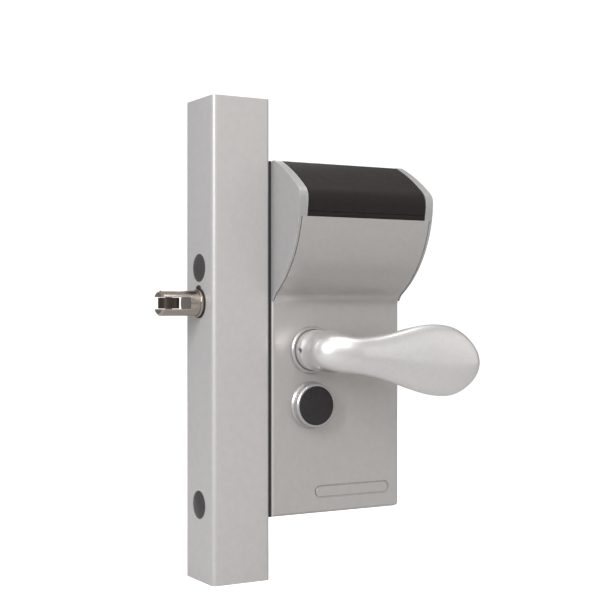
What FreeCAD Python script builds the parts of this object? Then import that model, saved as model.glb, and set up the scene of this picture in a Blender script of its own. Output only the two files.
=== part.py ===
import FreeCAD, Part
import math
import os

# Code lock on a square gate profile. Millimetres, +Z up, X across the gate, +Y away from the keypad.
# The origin is the centre of the profile's lower end, and the profile's axis is the Z axis.

V = FreeCAD.Vector

# --- gate profile -----------------------------------------------------------------------------
PROFILE_WIDTH = 40.0
PROFILE_WALL = 2.5
PROFILE_CORNER = 3.0
PROFILE_LENGTH = 303.4
PLUG_BORE_R = 8.0
PLUG_HEAD_R = 8.9
PLUG_HEAD_RISE = 1.7
PLUG_STEM_LENGTH = 6.0
PLUG_WALL = 1.5
PLUG_FACE = 1.0

# --- lock body --------------------------------------------------------------------------------
GASKET_THICKNESS = 1.2
GASKET_INSET = 1.0
BODY_WIDTH = 96.8
BODY_BOTTOM = 39.4
BODY_HEIGHT = 225.3
COVER_THICKNESS = 2.5
COVER_EDGE_ROUND = 2.2
COVER_CORNER = 4.5
CASE_WALL = 4.0
CASE_THIN = 3.0
SCREW_R = 2.0
SCREW_HEAD_R = 4.0
SCREW_DRIVE_R = 1.3
SCREW_DRIVE_DEPTH = 1.2
SCREW_BITE = 1.2
SCREW_INSET = 4.5
LOWER_SCREW_RISE = 18.0
FIXING_INSET = 8.5
FIXING_TOP_DROP = 67.8
BOLT_R = 4.0
BOLT_HEAD_R = 6.5
BOLT_HEAD_HEIGHT = 8.0
BOLT_SOCKET_R = 3.0
BOLT_SOCKET_DEPTH = 4.0
BOLT_REACH = 16.0
FIXING_BOSS_LENGTH = 18.0

# --- hood over the keypad, seen from the side: reach is the distance out of the front plane ---------
HOOD_FOOT = 132.6
HOOD_FOOT_RADIUS = 11.0
HOOD_FOOT_TURN = 57.0
HOOD_BELLY_RADIUS = 72.0
HOOD_NOSE_RADIUS = 8.0
HOOD_NOSE_START = -2.0
HOOD_NOSE_TURN = 50.0
HOOD_TOP_RADIUS = 125.0
CHEEK_THICKNESS = 4.6
CHEEK_FOOT_RISE = 4.3
HOOD_SEAM = 0.6
CHEEK_DRAFT = 1.1
HOOD_COVER_INSET = 1.3
FLAP_THICKNESS = 2.2
FLAP_GAP = 0.35
FLAP_LOWER_EDGE = 188.3
LID_NOSE_RADIUS = 12.0
HINGE_PIN_R = 1.2
HINGE_KNUCKLE_R = 3.0
HINGE_BACK_GAP = 0.5
HINGE_PIN_SEAT = 3.0
GRIP_GROOVE_DEPTH = 0.5
GRIP_GROOVE_START = 2.0
GRIP_GROOVE_TURN = 0.5

# --- keypad -----------------------------------------------------------------------------------
BUTTON_COLUMNS = 7
BUTTON_ROWS = 2
BUTTON_PITCH = 11.6
BUTTON_ROW_PITCH = 13.5
BUTTON_R = 4.5
BUTTON_PROUD = 3.0
BUTTON_TRAVEL = 2.2
BUTTON_STEM_R = 2.0
BUTTON_EDGE = 0.7
BUTTON_FIT = 0.08
BUTTON_COLLAR_WIDTH = 0.7
BUTTON_COLLAR_THICKNESS = 1.2
STEM_LENGTH_IN_CHAMBER = 3.9
CHAMBER_DEPTH = 8.0
CHAMBER_FLOOR = 0.6
CHAMBER_POST_R = 1.6
KEYPAD_PLATE_THICKNESS = 2.5
KEYPAD_LOW_REACH = 30.5
KEYPAD_LOW_RISE = 185.6
KEYPAD_LENGTH = 34.0
KEYPAD_TILT = 51.0

# --- handle set -------------------------------------------------------------------------------
HANDLE_INSET = 28.8
HANDLE_RISE = 105.3
HANDLE_STANDOFF = 38.0
HANDLE_REACH = 105.0
HANDLE_NECK_R = 13.0
NECK_LENGTH = 8.0
ROSETTE_FIT = 0.5
ROSETTE_WIDTH = 1.75
ROSETTE_HEIGHT = 2.4
ROSETTE_BEVEL = 0.7
GRUB_R = 2.0
GRUB_DROP = 7.5
GRUB_STANDS_OUT = 0.6
SPINDLE_SQUARE = 8.0
HUB_ARM = 28.0
HUB_REST_TILT = 20.0
DRIVE_PIN_R = 3.0
HUB_R = 11.0
HUB_ARM_WIDTH = 8.0
HUB_ARM_THICKNESS = 5.2
HUB_EYE_R = 5.5
TRUNNION_R = 8.0
TRUNNION_REACH = 7.5
HUB_BUSH_R = 10.5
HUB_BUSH_FLANGE_R = 12.5
HUB_BUSH_FLANGE = 1.0
SPINDLE_REACH = 23.5

# --- override cylinder ------------------------------------------------------------------------
CYLINDER_DROP = 35.4
COLLAR_BASE_R = 15.2
COLLAR_RIM_R = 14.0
COLLAR_HEIGHT = 6.8
CAP_R = 12.5
BARREL_R = 10.0
COLLAR_SEAT_DEPTH = 2.4
CAP_RISE = 0.9
CAP_EDGE_RISE = 0.2
CAM_WIDTH = 6.0
CAM_THICKNESS = 4.0
CAM_RING = 3.0

# --- latch ------------------------------------------------------------------------------------
LATCH_RISE = 135.3
LATCH_R = 8.0
LATCH_PROJECTION = 28.0
LATCH_SLOT_DEPTH = 19.0
LATCH_SLOT_HEIGHT = 7.5
LATCH_ROD_R = 4.0
ROLLER_R = 6.6
ROLLER_PIN_R = 2.0
LATCH_TIP_CHAMFER = 1.2
ROD_SEAT_DEPTH = 16.0
LATCH_HOLE_GAP = 1.5
BUSH_WALL = 1.45
BUSH_FLANGE = 0.9
BUSH_FLANGE_WIDTH = 1.2
BUSH_LENGTH = 12.0
BUSH_PEAK_R = 3.0
GUIDE_RING_WIDTH = 0.75
GUIDE_RING_THICKNESS = 1.6
ROD_BUSH_WALL = 1.95
ROD_BUSH_FLANGE_WIDTH = 2.9
ROD_BUSH_FLANGE = 0.8
NUT_THICKNESS = 5.0
NUT_CORNER_R = 7.5
SPRING_WIRE = 1.2
LATCH_SPRING_R = 4.8

# --- clearances -------------------------------------------------------------------------------
RUNNING_FIT = 0.05
BODY_GAP = 0.35
SEAT_GAP = 0.1

# --- places worked out from the sizes above ------------------------------------------------------
HALF_PROFILE = PROFILE_WIDTH / 2
BODY_LEFT = HALF_PROFILE + GASKET_THICKNESS
BODY_RIGHT = BODY_LEFT + BODY_WIDTH
BODY_TOP = BODY_BOTTOM + BODY_HEIGHT
FRONT = -HALF_PROFILE
REAR = HALF_PROFILE
CASE_FRONT = FRONT + COVER_THICKNESS
CASE_REAR = REAR - COVER_THICKNESS
HOOD_FOOT_Z = BODY_BOTTOM + HOOD_FOOT
FLAP_EDGE_Z = BODY_BOTTOM + FLAP_LOWER_EDGE
FLAP_LEFT = BODY_LEFT + CHEEK_THICKNESS
FLAP_RIGHT = BODY_RIGHT - CHEEK_THICKNESS
HANDLE_X = BODY_LEFT + HANDLE_INSET
HANDLE_Z = BODY_BOTTOM + HANDLE_RISE
CYLINDER_Z = HANDLE_Z - CYLINDER_DROP
LATCH_Z = BODY_BOTTOM + LATCH_RISE
UPPER_FIXING_Z = BODY_TOP - FIXING_TOP_DROP
LOWER_FIXING_Z = BODY_BOTTOM + FIXING_INSET
PLATE_OUT = 9.0
PLATE_IN = 7.0
SLIDER_HALF = 6.0


def box(x0, x1, y0, y1, z0, z1):
    """A block between two opposite corners."""
    return Part.makeBox(x1 - x0, y1 - y0, z1 - z0, V(x0, y0, z0))


def rod_x(y, z, radius, x0, x1):
    """A round bar along X."""
    return Part.makeCylinder(radius, x1 - x0, V(x0, y, z), V(1, 0, 0))


def rod_y(x, z, radius, y0, y1):
    """A round bar along Y."""
    return Part.makeCylinder(radius, y1 - y0, V(x, y0, z), V(0, 1, 0))


def rod_z(x, y, radius, z0, z1):
    """A round bar along Z."""
    return Part.makeCylinder(radius, z1 - z0, V(x, y, z0), V(0, 0, 1))


def fused(shapes):
    """One solid from several that touch."""
    whole = shapes[0]
    for shape in shapes[1:]:
        whole = whole.fuse(shape)
    return whole.removeSplitter()


def mirrored_to_rear(shape):
    """The same piece on the other side of the gate."""
    return shape.mirror(V(0, 0, 0), V(0, 1, 0))


def turned(profile, x, z):
    """A turned piece from (radius, y) points round an axis along Y through x, z."""
    points = [V(x + radius, y, z) for radius, y in profile]
    face = Part.Face(Part.makePolygon(points + points[:1]))
    return face.revolve(V(x, 0, z), V(0, 1, 0), 360)


def coil(centre, axis, radius, wire, length, turns):
    """A coil spring with its lower end at centre, wound along axis."""
    helix = Part.makeLongHelix(length / turns, length, radius)
    section = Part.Wire(Part.makeCircle(wire / 2, V(radius, 0, 0), V(0, 1, 0)))
    spring = Part.Wire(helix.Edges).makePipeShell([section], True, True)
    spring.Placement = FreeCAD.Placement(centre, FreeCAD.Rotation(V(0, 0, 1), axis))
    return spring


def save(name, shape):
    """Write one sub-part."""
    shape.exportStep("parts/" + name + ".step")


# --- the hood's side outline ---------------------------------------------------------------------

class HoodOutline:
    """Arcs of the hood seen from the side, drawn a given depth under its skin."""

    def __init__(self):
        turn = math.radians(HOOD_FOOT_TURN)
        nose_turn = math.radians(HOOD_NOSE_TURN)
        self.foot = (HOOD_FOOT_RADIUS, HOOD_FOOT_Z)
        foot_end = (HOOD_FOOT_RADIUS * (1 - math.cos(turn)), HOOD_FOOT_Z + HOOD_FOOT_RADIUS * math.sin(turn))
        self.belly = (foot_end[0] - HOOD_BELLY_RADIUS * math.cos(turn),
                      foot_end[1] + HOOD_BELLY_RADIUS * math.sin(turn))
        self.nose = self.point(self.belly, HOOD_BELLY_RADIUS - HOOD_NOSE_RADIUS, HOOD_NOSE_START)
        self.reach = self.nose[0] + HOOD_NOSE_RADIUS
        slope = HOOD_TOP_RADIUS - HOOD_NOSE_RADIUS
        self.top = (self.nose[0] - slope * math.cos(nose_turn), self.nose[1] - slope * math.sin(nose_turn))
        self.flap_turn = math.degrees(math.asin((self.belly[1] - FLAP_EDGE_Z) / HOOD_BELLY_RADIUS))
        across = self.top[0]
        hinge_radius = HOOD_TOP_RADIUS - HINGE_KNUCKLE_R
        hinge_reach = HINGE_KNUCKLE_R + HINGE_BACK_GAP
        self.hinge_turn = math.degrees(math.acos((hinge_reach - across) / hinge_radius))
        self.hinge = (hinge_reach, self.top[1] + hinge_radius * math.sin(math.radians(self.hinge_turn)))
        self.back_turn = math.degrees(math.acos(-across / HOOD_TOP_RADIUS))

    def point(self, centre, radius, degrees):
        """A point at an angle above the reach direction, as (reach, Z)."""
        angle = math.radians(degrees)
        return (centre[0] + radius * math.cos(angle), centre[1] + radius * math.sin(angle))

    def arc(self, centre, radius, start, end):
        """An arc edge in the plane X = 0."""
        angles = (start, (start + end) / 2, end)
        ends = [self.at(self.point(centre, radius, angle)) for angle in angles]
        return Part.Arc(*ends).toShape()

    def at(self, place):
        """The 3-D point of a (reach, Z) pair."""
        return V(0, FRONT - place[0], place[1])

    def foot_arc(self, depth):
        return self.arc(self.foot, HOOD_FOOT_RADIUS + depth, 180, 180 - HOOD_FOOT_TURN)

    def belly_arc(self, depth, end):
        return self.arc(self.belly, HOOD_BELLY_RADIUS - depth, -HOOD_FOOT_TURN, end)

    def nose_arc(self, depth):
        return self.arc(self.nose, HOOD_NOSE_RADIUS - depth, HOOD_NOSE_START, HOOD_NOSE_TURN)

    def top_arc(self, depth, end):
        return self.arc(self.top, HOOD_TOP_RADIUS - depth, HOOD_NOSE_TURN, end)


    def lid_nose(self):
        """Centre, start angle and end angle of the lid's nose arc, which touches the belly and top arcs."""
        across, up = self.top[0] - self.belly[0], self.top[1] - self.belly[1]
        apart = math.hypot(across, up)
        near = HOOD_BELLY_RADIUS - LID_NOSE_RADIUS
        far = HOOD_TOP_RADIUS - LID_NOSE_RADIUS
        along = (near ** 2 - far ** 2 + apart ** 2) / (2 * apart)
        off = math.sqrt(near ** 2 - along ** 2)
        sides = [(self.belly[0] + (along * across - side * off * up) / apart,
                  self.belly[1] + (along * up + side * off * across) / apart) for side in (1, -1)]
        centre = max(sides)
        start, end = [math.degrees(math.atan2(centre[1] - of[1], centre[0] - of[0]))
                      for of in (self.belly, self.top)]
        return centre, start, end


HOOD = HoodOutline()


def prism(edges, x0, x1):
    """A block with a side outline, which straight lines close where its edges don't meet."""
    chain = []
    for index, edge in enumerate(edges):
        chain.append(edge)
        following = edges[(index + 1) % len(edges)]
        start, end = last_point(edge), first_point(following)
        if start.distanceToPoint(end) > 1e-6:
            chain.append(Part.makeLine(start, end))
    face = Part.Face(Part.Wire(Part.__sortEdges__(chain)))
    face.translate(V(x0, 0, 0))
    return face.extrude(V(x1 - x0, 0, 0))


def first_point(edge):
    return edge.valueAt(edge.FirstParameter)


def last_point(edge):
    return edge.valueAt(edge.LastParameter)


def backwards(edge):
    """The same arc run the other way."""
    middle = edge.valueAt((edge.FirstParameter + edge.LastParameter) / 2)
    return Part.Arc(last_point(edge), middle, first_point(edge)).toShape()


def rounded_rectangle(x0, x1, z0, z1, lower_right, others):
    """The body's front outline as a face at Y = 0, with a larger lower right corner."""
    corners = [(x0, z0, others, 180), (x1, z0, lower_right, 270), (x1, z1, others, 0), (x0, z1, others, 90)]
    edges = []
    points = []
    for x, z, radius, start in corners:
        cx = x + radius if x == x0 else x - radius
        cz = z + radius if z == z0 else z - radius
        places = [math.radians(start + step) for step in (0, 45, 90)]
        arc = [V(cx + radius * math.cos(a), 0, cz + radius * math.sin(a)) for a in places]
        points.append((arc[0], arc[2]))
        edges.append(Part.Arc(*arc).toShape())
    for index in range(4):
        edges.append(Part.makeLine(points[index][1], points[(index + 1) % 4][0]))
    return Part.Face(Part.Wire(Part.__sortEdges__(edges)))


def body_outline(y0, y1, inset=0.0):
    """The body's outline as a block between two Y planes."""
    face = rounded_rectangle(BODY_LEFT + inset, BODY_RIGHT - inset, BODY_BOTTOM + inset, BODY_TOP - inset,
                             max(COVER_CORNER - inset, 0.5), 1.0)
    face.translate(V(0, y0, 0))
    return face.extrude(V(0, y1 - y0, 0))


# --- gate profile and what is fixed to it ---------------------------------------------------------

def gate_profile():
    outer = square_tube_section(HALF_PROFILE, PROFILE_CORNER)
    inner = square_tube_section(HALF_PROFILE - PROFILE_WALL, max(PROFILE_CORNER - PROFILE_WALL, 0.5))
    tube = outer.extrude(V(0, 0, PROFILE_LENGTH)).cut(inner.extrude(V(0, 0, PROFILE_LENGTH)))
    left = -HALF_PROFILE - 1
    right = HALF_PROFILE + 1
    for z in (UPPER_FIXING_Z, LOWER_FIXING_Z):
        tube = tube.cut(rod_x(0, z, PLUG_BORE_R, left, 0))
        tube = tube.cut(rod_x(0, z, BOLT_R + BODY_GAP, 0, right))
    tube = tube.cut(rod_x(0, LATCH_Z, LATCH_R + LATCH_HOLE_GAP, left, 0))
    return tube.cut(rod_x(0, LATCH_Z, LATCH_ROD_R + LATCH_HOLE_GAP, 0, right))


def square_tube_section(half, corner):
    """A square with rounded corners, as a face at Z = 0."""
    block = box(-half, half, -half, half, 0, 1)
    upright = [edge for edge in block.Edges if abs(edge.tangentAt(edge.FirstParameter).z) > 0.9]
    rounded = block.makeFillet(corner, upright)
    return [face for face in rounded.Faces if abs(face.CenterOfMass.z) < 1e-6][0]


def hole_plugs():
    """Domed plugs in the two holes that the fixing bolts go in by."""
    plugs = []
    rise = PLUG_HEAD_RISE
    sphere_r = (PLUG_HEAD_R ** 2 + rise ** 2) / (2 * rise)
    for z in (UPPER_FIXING_Z, LOWER_FIXING_Z):
        dome = Part.makeSphere(sphere_r, V(-HALF_PROFILE - rise + sphere_r, 0, z))
        head = dome.common(rod_x(0, z, PLUG_HEAD_R, -HALF_PROFILE - rise - 1, -HALF_PROFILE))
        stem = rod_x(0, z, PLUG_BORE_R - RUNNING_FIT, -HALF_PROFILE, -HALF_PROFILE + PLUG_STEM_LENGTH)
        plugs.append(fused([head, stem.cut(rod_x(0, z, PLUG_BORE_R - PLUG_WALL, -HALF_PROFILE + PLUG_FACE, 0))]))
    return Part.makeCompound(plugs)


def latch_bush():
    """Nylon guide for the bolt, with a flange that rises to a point above it."""
    face = -HALF_PROFILE
    front = face - BUSH_FLANGE
    peak_z = LATCH_Z + LATCH_R + 0.3
    flange = rod_x(0, LATCH_Z, LATCH_R + BUSH_FLANGE_WIDTH, front, face)
    peak = rod_x(0, peak_z, BUSH_PEAK_R, front, face)
    web = box(front, face, -BUSH_PEAK_R, BUSH_PEAK_R, LATCH_Z, peak_z)
    sleeve = rod_x(0, LATCH_Z, LATCH_R + BUSH_WALL, face, face + BUSH_LENGTH)
    return fused([flange, peak, web, sleeve]).cut(
        rod_x(0, LATCH_Z, LATCH_R + RUNNING_FIT, front - 1, face + BUSH_LENGTH + 1))


def mounting_gasket():
    face = rounded_rectangle(HALF_PROFILE, BODY_LEFT, BODY_BOTTOM, BODY_TOP, 0.5, 0.5)
    strip = face.extrude(V(0, 2 * (REAR - GASKET_INSET), 0))
    strip.translate(V(0, FRONT + GASKET_INSET, 0))
    for z in (UPPER_FIXING_Z, LOWER_FIXING_Z):
        strip = strip.cut(rod_x(0, z, BOLT_R + BODY_GAP, HALF_PROFILE - 1, BODY_LEFT + 1))
    return strip.cut(rod_x(0, LATCH_Z, LATCH_ROD_R + LATCH_HOLE_GAP, HALF_PROFILE - 1, BODY_LEFT + 1))


def fixing_bolts():
    """Two socket bolts from inside the profile into the case."""
    inner = HALF_PROFILE - PROFILE_WALL
    bolts = []
    for z in (UPPER_FIXING_Z, LOWER_FIXING_Z):
        top = inner - BOLT_HEAD_HEIGHT
        head = rod_x(0, z, BOLT_HEAD_R, top, inner)
        shank = rod_x(0, z, BOLT_R, inner, BODY_LEFT + BOLT_REACH)
        socket = rod_x(0, z, BOLT_SOCKET_R, top, top + BOLT_SOCKET_DEPTH)
        bolts.append(fused([head, shank]).cut(socket))
    return Part.makeCompound(bolts)


# --- body ------------------------------------------------------------------------------------------
INNER_LEFT = BODY_LEFT + CASE_WALL
INNER_RIGHT = BODY_RIGHT - CASE_THIN
INNER_BOTTOM = BODY_BOTTOM + CASE_THIN
INNER_TOP = BODY_TOP - CASE_THIN
SCREW_PLACES = [(x, z) for x in (INNER_LEFT + SCREW_INSET, INNER_RIGHT - SCREW_INSET)
                for z in (INNER_BOTTOM + LOWER_SCREW_RISE, INNER_TOP - SCREW_INSET)]


def lock_case():
    """Cast frame, open at the front and the rear, with bosses for the bolts and the cover screws."""
    shell = body_outline(CASE_FRONT, CASE_REAR)
    shell = shell.cut(box(INNER_LEFT, INNER_RIGHT, CASE_FRONT, CASE_REAR, INNER_BOTTOM, INNER_TOP))
    for x, z in SCREW_PLACES:
        half = SCREW_INSET
        for y0, y1 in ((CASE_FRONT, -PLATE_OUT), (PLATE_OUT, CASE_REAR)):
            shell = shell.fuse(box(x - half, x + half, y0, y1, z - half, z + half))
    for z in (UPPER_FIXING_Z, LOWER_FIXING_Z):
        shell = shell.fuse(rod_x(0, z, PLATE_IN - SEAT_GAP, BODY_LEFT + 1, BODY_LEFT + FIXING_BOSS_LENGTH))
    for z in (UPPER_FIXING_Z, LOWER_FIXING_Z):
        shell = shell.cut(rod_x(0, z, BOLT_R + RUNNING_FIT, BODY_LEFT - 1, BODY_LEFT + BOLT_REACH + 0.5))
    for x, z in SCREW_PLACES:
        shell = shell.cut(rod_y(x, z, SCREW_R + RUNNING_FIT, CASE_FRONT - 1, CASE_REAR + 1))
    shell = shell.cut(rod_x(0, LATCH_Z, LATCH_ROD_R + ROD_BUSH_WALL + RUNNING_FIT, BODY_LEFT - 1, INNER_LEFT + 1))
    return shell.removeSplitter()


def rod_bush():
    """Flanged bush for the latch rod in the case wall."""
    sleeve = rod_x(0, LATCH_Z, LATCH_ROD_R + ROD_BUSH_WALL, BODY_LEFT, INNER_LEFT)
    flange = rod_x(0, LATCH_Z, LATCH_ROD_R + ROD_BUSH_FLANGE_WIDTH, INNER_LEFT, INNER_LEFT + ROD_BUSH_FLANGE)
    return fused([sleeve, flange]).cut(rod_x(0, LATCH_Z, LATCH_ROD_R + RUNNING_FIT, BODY_LEFT - 1, INNER_LEFT + 2))


def edge_rounding(y_out, y_in):
    """The plan and side of a cover whose outer edges are rounded, as one block."""
    r = COVER_EDGE_ROUND
    side = 1 if y_in > y_out else -1
    out = y_out + side * r
    lean = r * (1 - math.sqrt(0.5))
    plan = [Part.makeLine(V(BODY_LEFT, y_in, 0), V(BODY_LEFT, out, 0)),
            Part.Arc(V(BODY_LEFT, out, 0), V(BODY_LEFT + lean, y_out + side * lean, 0),
                     V(BODY_LEFT + r, y_out, 0)).toShape(),
            Part.makeLine(V(BODY_LEFT + r, y_out, 0), V(BODY_RIGHT - r, y_out, 0)),
            Part.Arc(V(BODY_RIGHT - r, y_out, 0), V(BODY_RIGHT - lean, y_out + side * lean, 0),
                     V(BODY_RIGHT, out, 0)).toShape(),
            Part.makeLine(V(BODY_RIGHT, out, 0), V(BODY_RIGHT, y_in, 0)),
            Part.makeLine(V(BODY_RIGHT, y_in, 0), V(BODY_LEFT, y_in, 0))]
    upright = Part.Face(Part.Wire(Part.__sortEdges__(plan))).extrude(V(0, 0, BODY_TOP))
    side_on = [Part.Arc(V(0, out, BODY_BOTTOM), V(0, y_out + side * lean, BODY_BOTTOM + lean),
                        V(0, y_out, BODY_BOTTOM + r)).toShape(),
               Part.makeLine(V(0, y_out, BODY_BOTTOM + r), V(0, y_out, BODY_TOP)),
               Part.makeLine(V(0, y_out, BODY_TOP), V(0, y_in, BODY_TOP)),
               Part.makeLine(V(0, y_in, BODY_TOP), V(0, y_in, BODY_BOTTOM)),
               Part.makeLine(V(0, y_in, BODY_BOTTOM), V(0, out, BODY_BOTTOM))]
    across = Part.Face(Part.Wire(Part.__sortEdges__(side_on))).extrude(V(BODY_RIGHT + 10, 0, 0))
    return upright.common(across)


def handle_and_cylinder_holes(shape, y0, y1):
    """Cut a cover's holes for the handle's trunnion and the cylinder."""
    shape = shape.cut(rod_y(HANDLE_X, HANDLE_Z, TRUNNION_R + 1.0, y0, y1))
    return shape.cut(rod_y(HANDLE_X, CYLINDER_Z, BARREL_R + RUNNING_FIT, y0, y1))


BADGE_LEFT = BODY_LEFT + 31.5
BADGE_LENGTH = 57.3
BADGE_HEIGHT = 8.6
BADGE_Z = BODY_BOTTOM + 13.7
BADGE_DEPTH = 1.0


def badge_shape(inset, y0, y1):
    """An obround block on the badge's place."""
    r = BADGE_HEIGHT / 2 - inset
    left = BADGE_LEFT + BADGE_HEIGHT / 2
    right = BADGE_LEFT + BADGE_LENGTH - BADGE_HEIGHT / 2
    middle = box(left, right, y0, y1, BADGE_Z - r, BADGE_Z + r)
    return fused([middle, rod_y(left, BADGE_Z, r, y0, y1), rod_y(right, BADGE_Z, r, y0, y1)])


def hood_skin(gap):
    """The sheet that runs from the hood's foot to the flap, with room round it where gap is set."""
    inner = COVER_THICKNESS + gap
    end = -HOOD.flap_turn
    upper = HOOD.at((-inner, HOOD_FOOT_Z - gap))
    lower = HOOD.at((0, HOOD_FOOT_Z - gap))
    edges = [Part.makeLine(upper, lower), HOOD.foot_arc(0), HOOD.belly_arc(0, end),
             backwards(HOOD.belly_arc(inner, end)), backwards(HOOD.foot_arc(inner))]
    inset = HOOD_COVER_INSET - gap
    return prism(edges, BODY_LEFT + inset, BODY_RIGHT - inset)


def front_cover():
    """Plate that runs up into the curved front of the hood."""
    plate = edge_rounding(FRONT, CASE_FRONT).common(body_outline(FRONT, CASE_FRONT))
    plate = plate.common(box(BODY_LEFT, BODY_RIGHT, FRONT, CASE_FRONT, BODY_BOTTOM,
                             HOOD_FOOT_Z + CHEEK_FOOT_RISE - SEAT_GAP))
    cover = fused([plate, hood_skin(0)])
    cover = cover.cut(badge_shape(0, FRONT - 1, FRONT + BADGE_DEPTH))
    for x, z in SCREW_PLACES:
        if z < HOOD_FOOT_Z:
            cover = cover.cut(rod_y(x, z, SCREW_R + RUNNING_FIT, CASE_FRONT - SCREW_BITE - 0.3, CASE_FRONT + 1))
    return handle_and_cylinder_holes(cover, FRONT - 1, CASE_FRONT + 1)


def screw_head(x, z):
    """Countersunk head, flush with the rear cover."""
    sink = SCREW_HEAD_R - SCREW_R
    return Part.makeCone(SCREW_R, SCREW_HEAD_R, sink, V(x, REAR - sink, z), V(0, 1, 0))


def rear_cover():
    cover = edge_rounding(REAR, CASE_REAR).common(body_outline(CASE_REAR, REAR))
    for x, z in SCREW_PLACES:
        cover = cover.cut(rod_y(x, z, SCREW_R + RUNNING_FIT, CASE_REAR - 1, REAR + 1)).cut(screw_head(x, z))
    return handle_and_cylinder_holes(cover, CASE_REAR - 1, REAR + 1)


def cover_screws():
    """Four countersunk screws from the rear cover through the case to the front."""
    screws = []
    sink = SCREW_HEAD_R - SCREW_R
    for x, z in SCREW_PLACES:
        shank = rod_y(x, z, SCREW_R, CASE_FRONT - SCREW_BITE, REAR - sink)
        drive = rod_y(x, z, SCREW_DRIVE_R, REAR - SCREW_DRIVE_DEPTH, REAR + 1)
        screws.append(fused([screw_head(x, z), shank]).cut(drive))
    return Part.makeCompound(screws)


def badge_plate():
    """A plain raised plate in the cover's obround recess."""
    return badge_shape(1.1, FRONT + 0.35, FRONT + BADGE_DEPTH)


def keypad_housing():
    """Casting with the two cheeks of the hood and the frame that joins them."""
    draft = CHEEK_DRAFT
    reach = HOOD.reach + 1
    slope = draft * reach / HOOD.reach
    edges = [HOOD.belly_arc(0, HOOD_NOSE_START), HOOD.nose_arc(0), HOOD.top_arc(0, HOOD.back_turn)]
    side = prism([HOOD.foot_arc(0)] + edges, BODY_LEFT - 2 * draft, BODY_RIGHT + 2 * draft)
    plan = Part.makePolygon([V(BODY_LEFT, FRONT, 0), V(BODY_LEFT - slope, FRONT - reach, 0),
                             V(BODY_RIGHT + slope, FRONT - reach, 0), V(BODY_RIGHT, FRONT, 0),
                             V(BODY_LEFT, FRONT, 0)])
    hood = side.common(Part.Face(plan).extrude(V(0, 0, BODY_TOP + 1)))
    hood = hood.common(box(0, BODY_RIGHT + 10, FRONT - reach, FRONT, HOOD_FOOT_Z + CHEEK_FOOT_RISE, BODY_TOP))
    cheeks = hood.cut(box(FLAP_LEFT, FLAP_RIGHT, FRONT - reach - 1, FRONT + 1, BODY_BOTTOM, BODY_TOP + 1))
    flange = body_outline(FRONT, CASE_FRONT).common(
        box(BODY_LEFT, BODY_RIGHT, FRONT, CASE_FRONT, HOOD_FOOT_Z + 12, BODY_TOP))
    opening = box(FLAP_LEFT + 2, FLAP_RIGHT - 2, FRONT - 1, CASE_FRONT + 1, HOOD_FOOT_Z + 20, INNER_TOP - 9)
    feet = body_outline(FRONT, CASE_FRONT).common(
        box(BODY_LEFT, BODY_RIGHT, FRONT, CASE_FRONT, HOOD_FOOT_Z + CHEEK_FOOT_RISE, HOOD_FOOT_Z + 12))
    feet = feet.cut(box(FLAP_LEFT, FLAP_RIGHT, FRONT - 1, CASE_FRONT + 1, BODY_BOTTOM, BODY_TOP))
    sides = fused([cheeks, feet]).cut(hood_skin(HOOD_SEAM))
    housing = fused([sides, flange.cut(opening)])
    for x, z in SCREW_PLACES:
        if z > HOOD_FOOT_Z:
            housing = housing.cut(rod_y(x, z, SCREW_R + RUNNING_FIT, CASE_FRONT - SCREW_BITE - 0.3, CASE_FRONT + 1))
    reach, z = HOOD.hinge
    return housing.cut(rod_x(FRONT - reach, z, HINGE_PIN_R, FLAP_LEFT - HINGE_PIN_SEAT, FLAP_RIGHT + HINGE_PIN_SEAT))


# --- keypad ------------------------------------------------------------------------------------------
KEYPAD_MIDDLE = (FLAP_LEFT + FLAP_RIGHT) / 2
CHAMBER_TOP = -(KEYPAD_PLATE_THICKNESS + BODY_GAP + BUTTON_COLLAR_THICKNESS + BUTTON_TRAVEL + BODY_GAP)
STEM_END = CHAMBER_TOP - STEM_LENGTH_IN_CHAMBER
CHAMBER_HALF = BUTTON_COLUMNS * BUTTON_PITCH / 2


def on_keypad(shape):
    """Move a shape from the keypad's own axes, with +Z out of the plate, to its tilted place."""
    place = V(0, FRONT - KEYPAD_LOW_REACH, BODY_BOTTOM + KEYPAD_LOW_RISE)
    shape.Placement = FreeCAD.Placement(place, FreeCAD.Rotation(V(1, 0, 0), KEYPAD_TILT))
    return shape


def button_places():
    """Each button's name and its place on the plate."""
    names = [["1", "2", "3", "4", "5", "x", "z"], ["6", "7", "8", "9", "0", "y", "clear"]]
    places = []
    for row in range(BUTTON_ROWS):
        for column in range(BUTTON_COLUMNS):
            x = KEYPAD_MIDDLE + (column - (BUTTON_COLUMNS - 1) / 2) * BUTTON_PITCH
            y = KEYPAD_LENGTH / 2 + ((BUTTON_ROWS - 1) / 2 - row) * BUTTON_ROW_PITCH
            places.append((names[row][column], x, y))
    return places


def keypad_plate():
    plate = box(FLAP_LEFT, FLAP_RIGHT, 0, KEYPAD_LENGTH, -KEYPAD_PLATE_THICKNESS, 0)
    for _, x, y in button_places():
        plate = plate.cut(rod_z(x, y, BUTTON_R + BUTTON_FIT, -KEYPAD_PLATE_THICKNESS - 1, 1))
    return on_keypad(plate)


def button(x, y):
    """A round push button with the collar that keeps it in and its stem."""
    collar_top = -KEYPAD_PLATE_THICKNESS - BODY_GAP
    head = rod_z(x, y, BUTTON_R, collar_top, BUTTON_PROUD)
    rim = [edge for edge in head.Edges if abs(edge.CenterOfMass.z - BUTTON_PROUD) < 0.01]
    head = head.makeFillet(BUTTON_EDGE, rim)
    collar = rod_z(x, y, BUTTON_R + BUTTON_COLLAR_WIDTH, collar_top - BUTTON_COLLAR_THICKNESS, collar_top)
    stem = rod_z(x, y, BUTTON_STEM_R, STEM_END, collar_top)
    return on_keypad(fused([head, collar, stem]))


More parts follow.
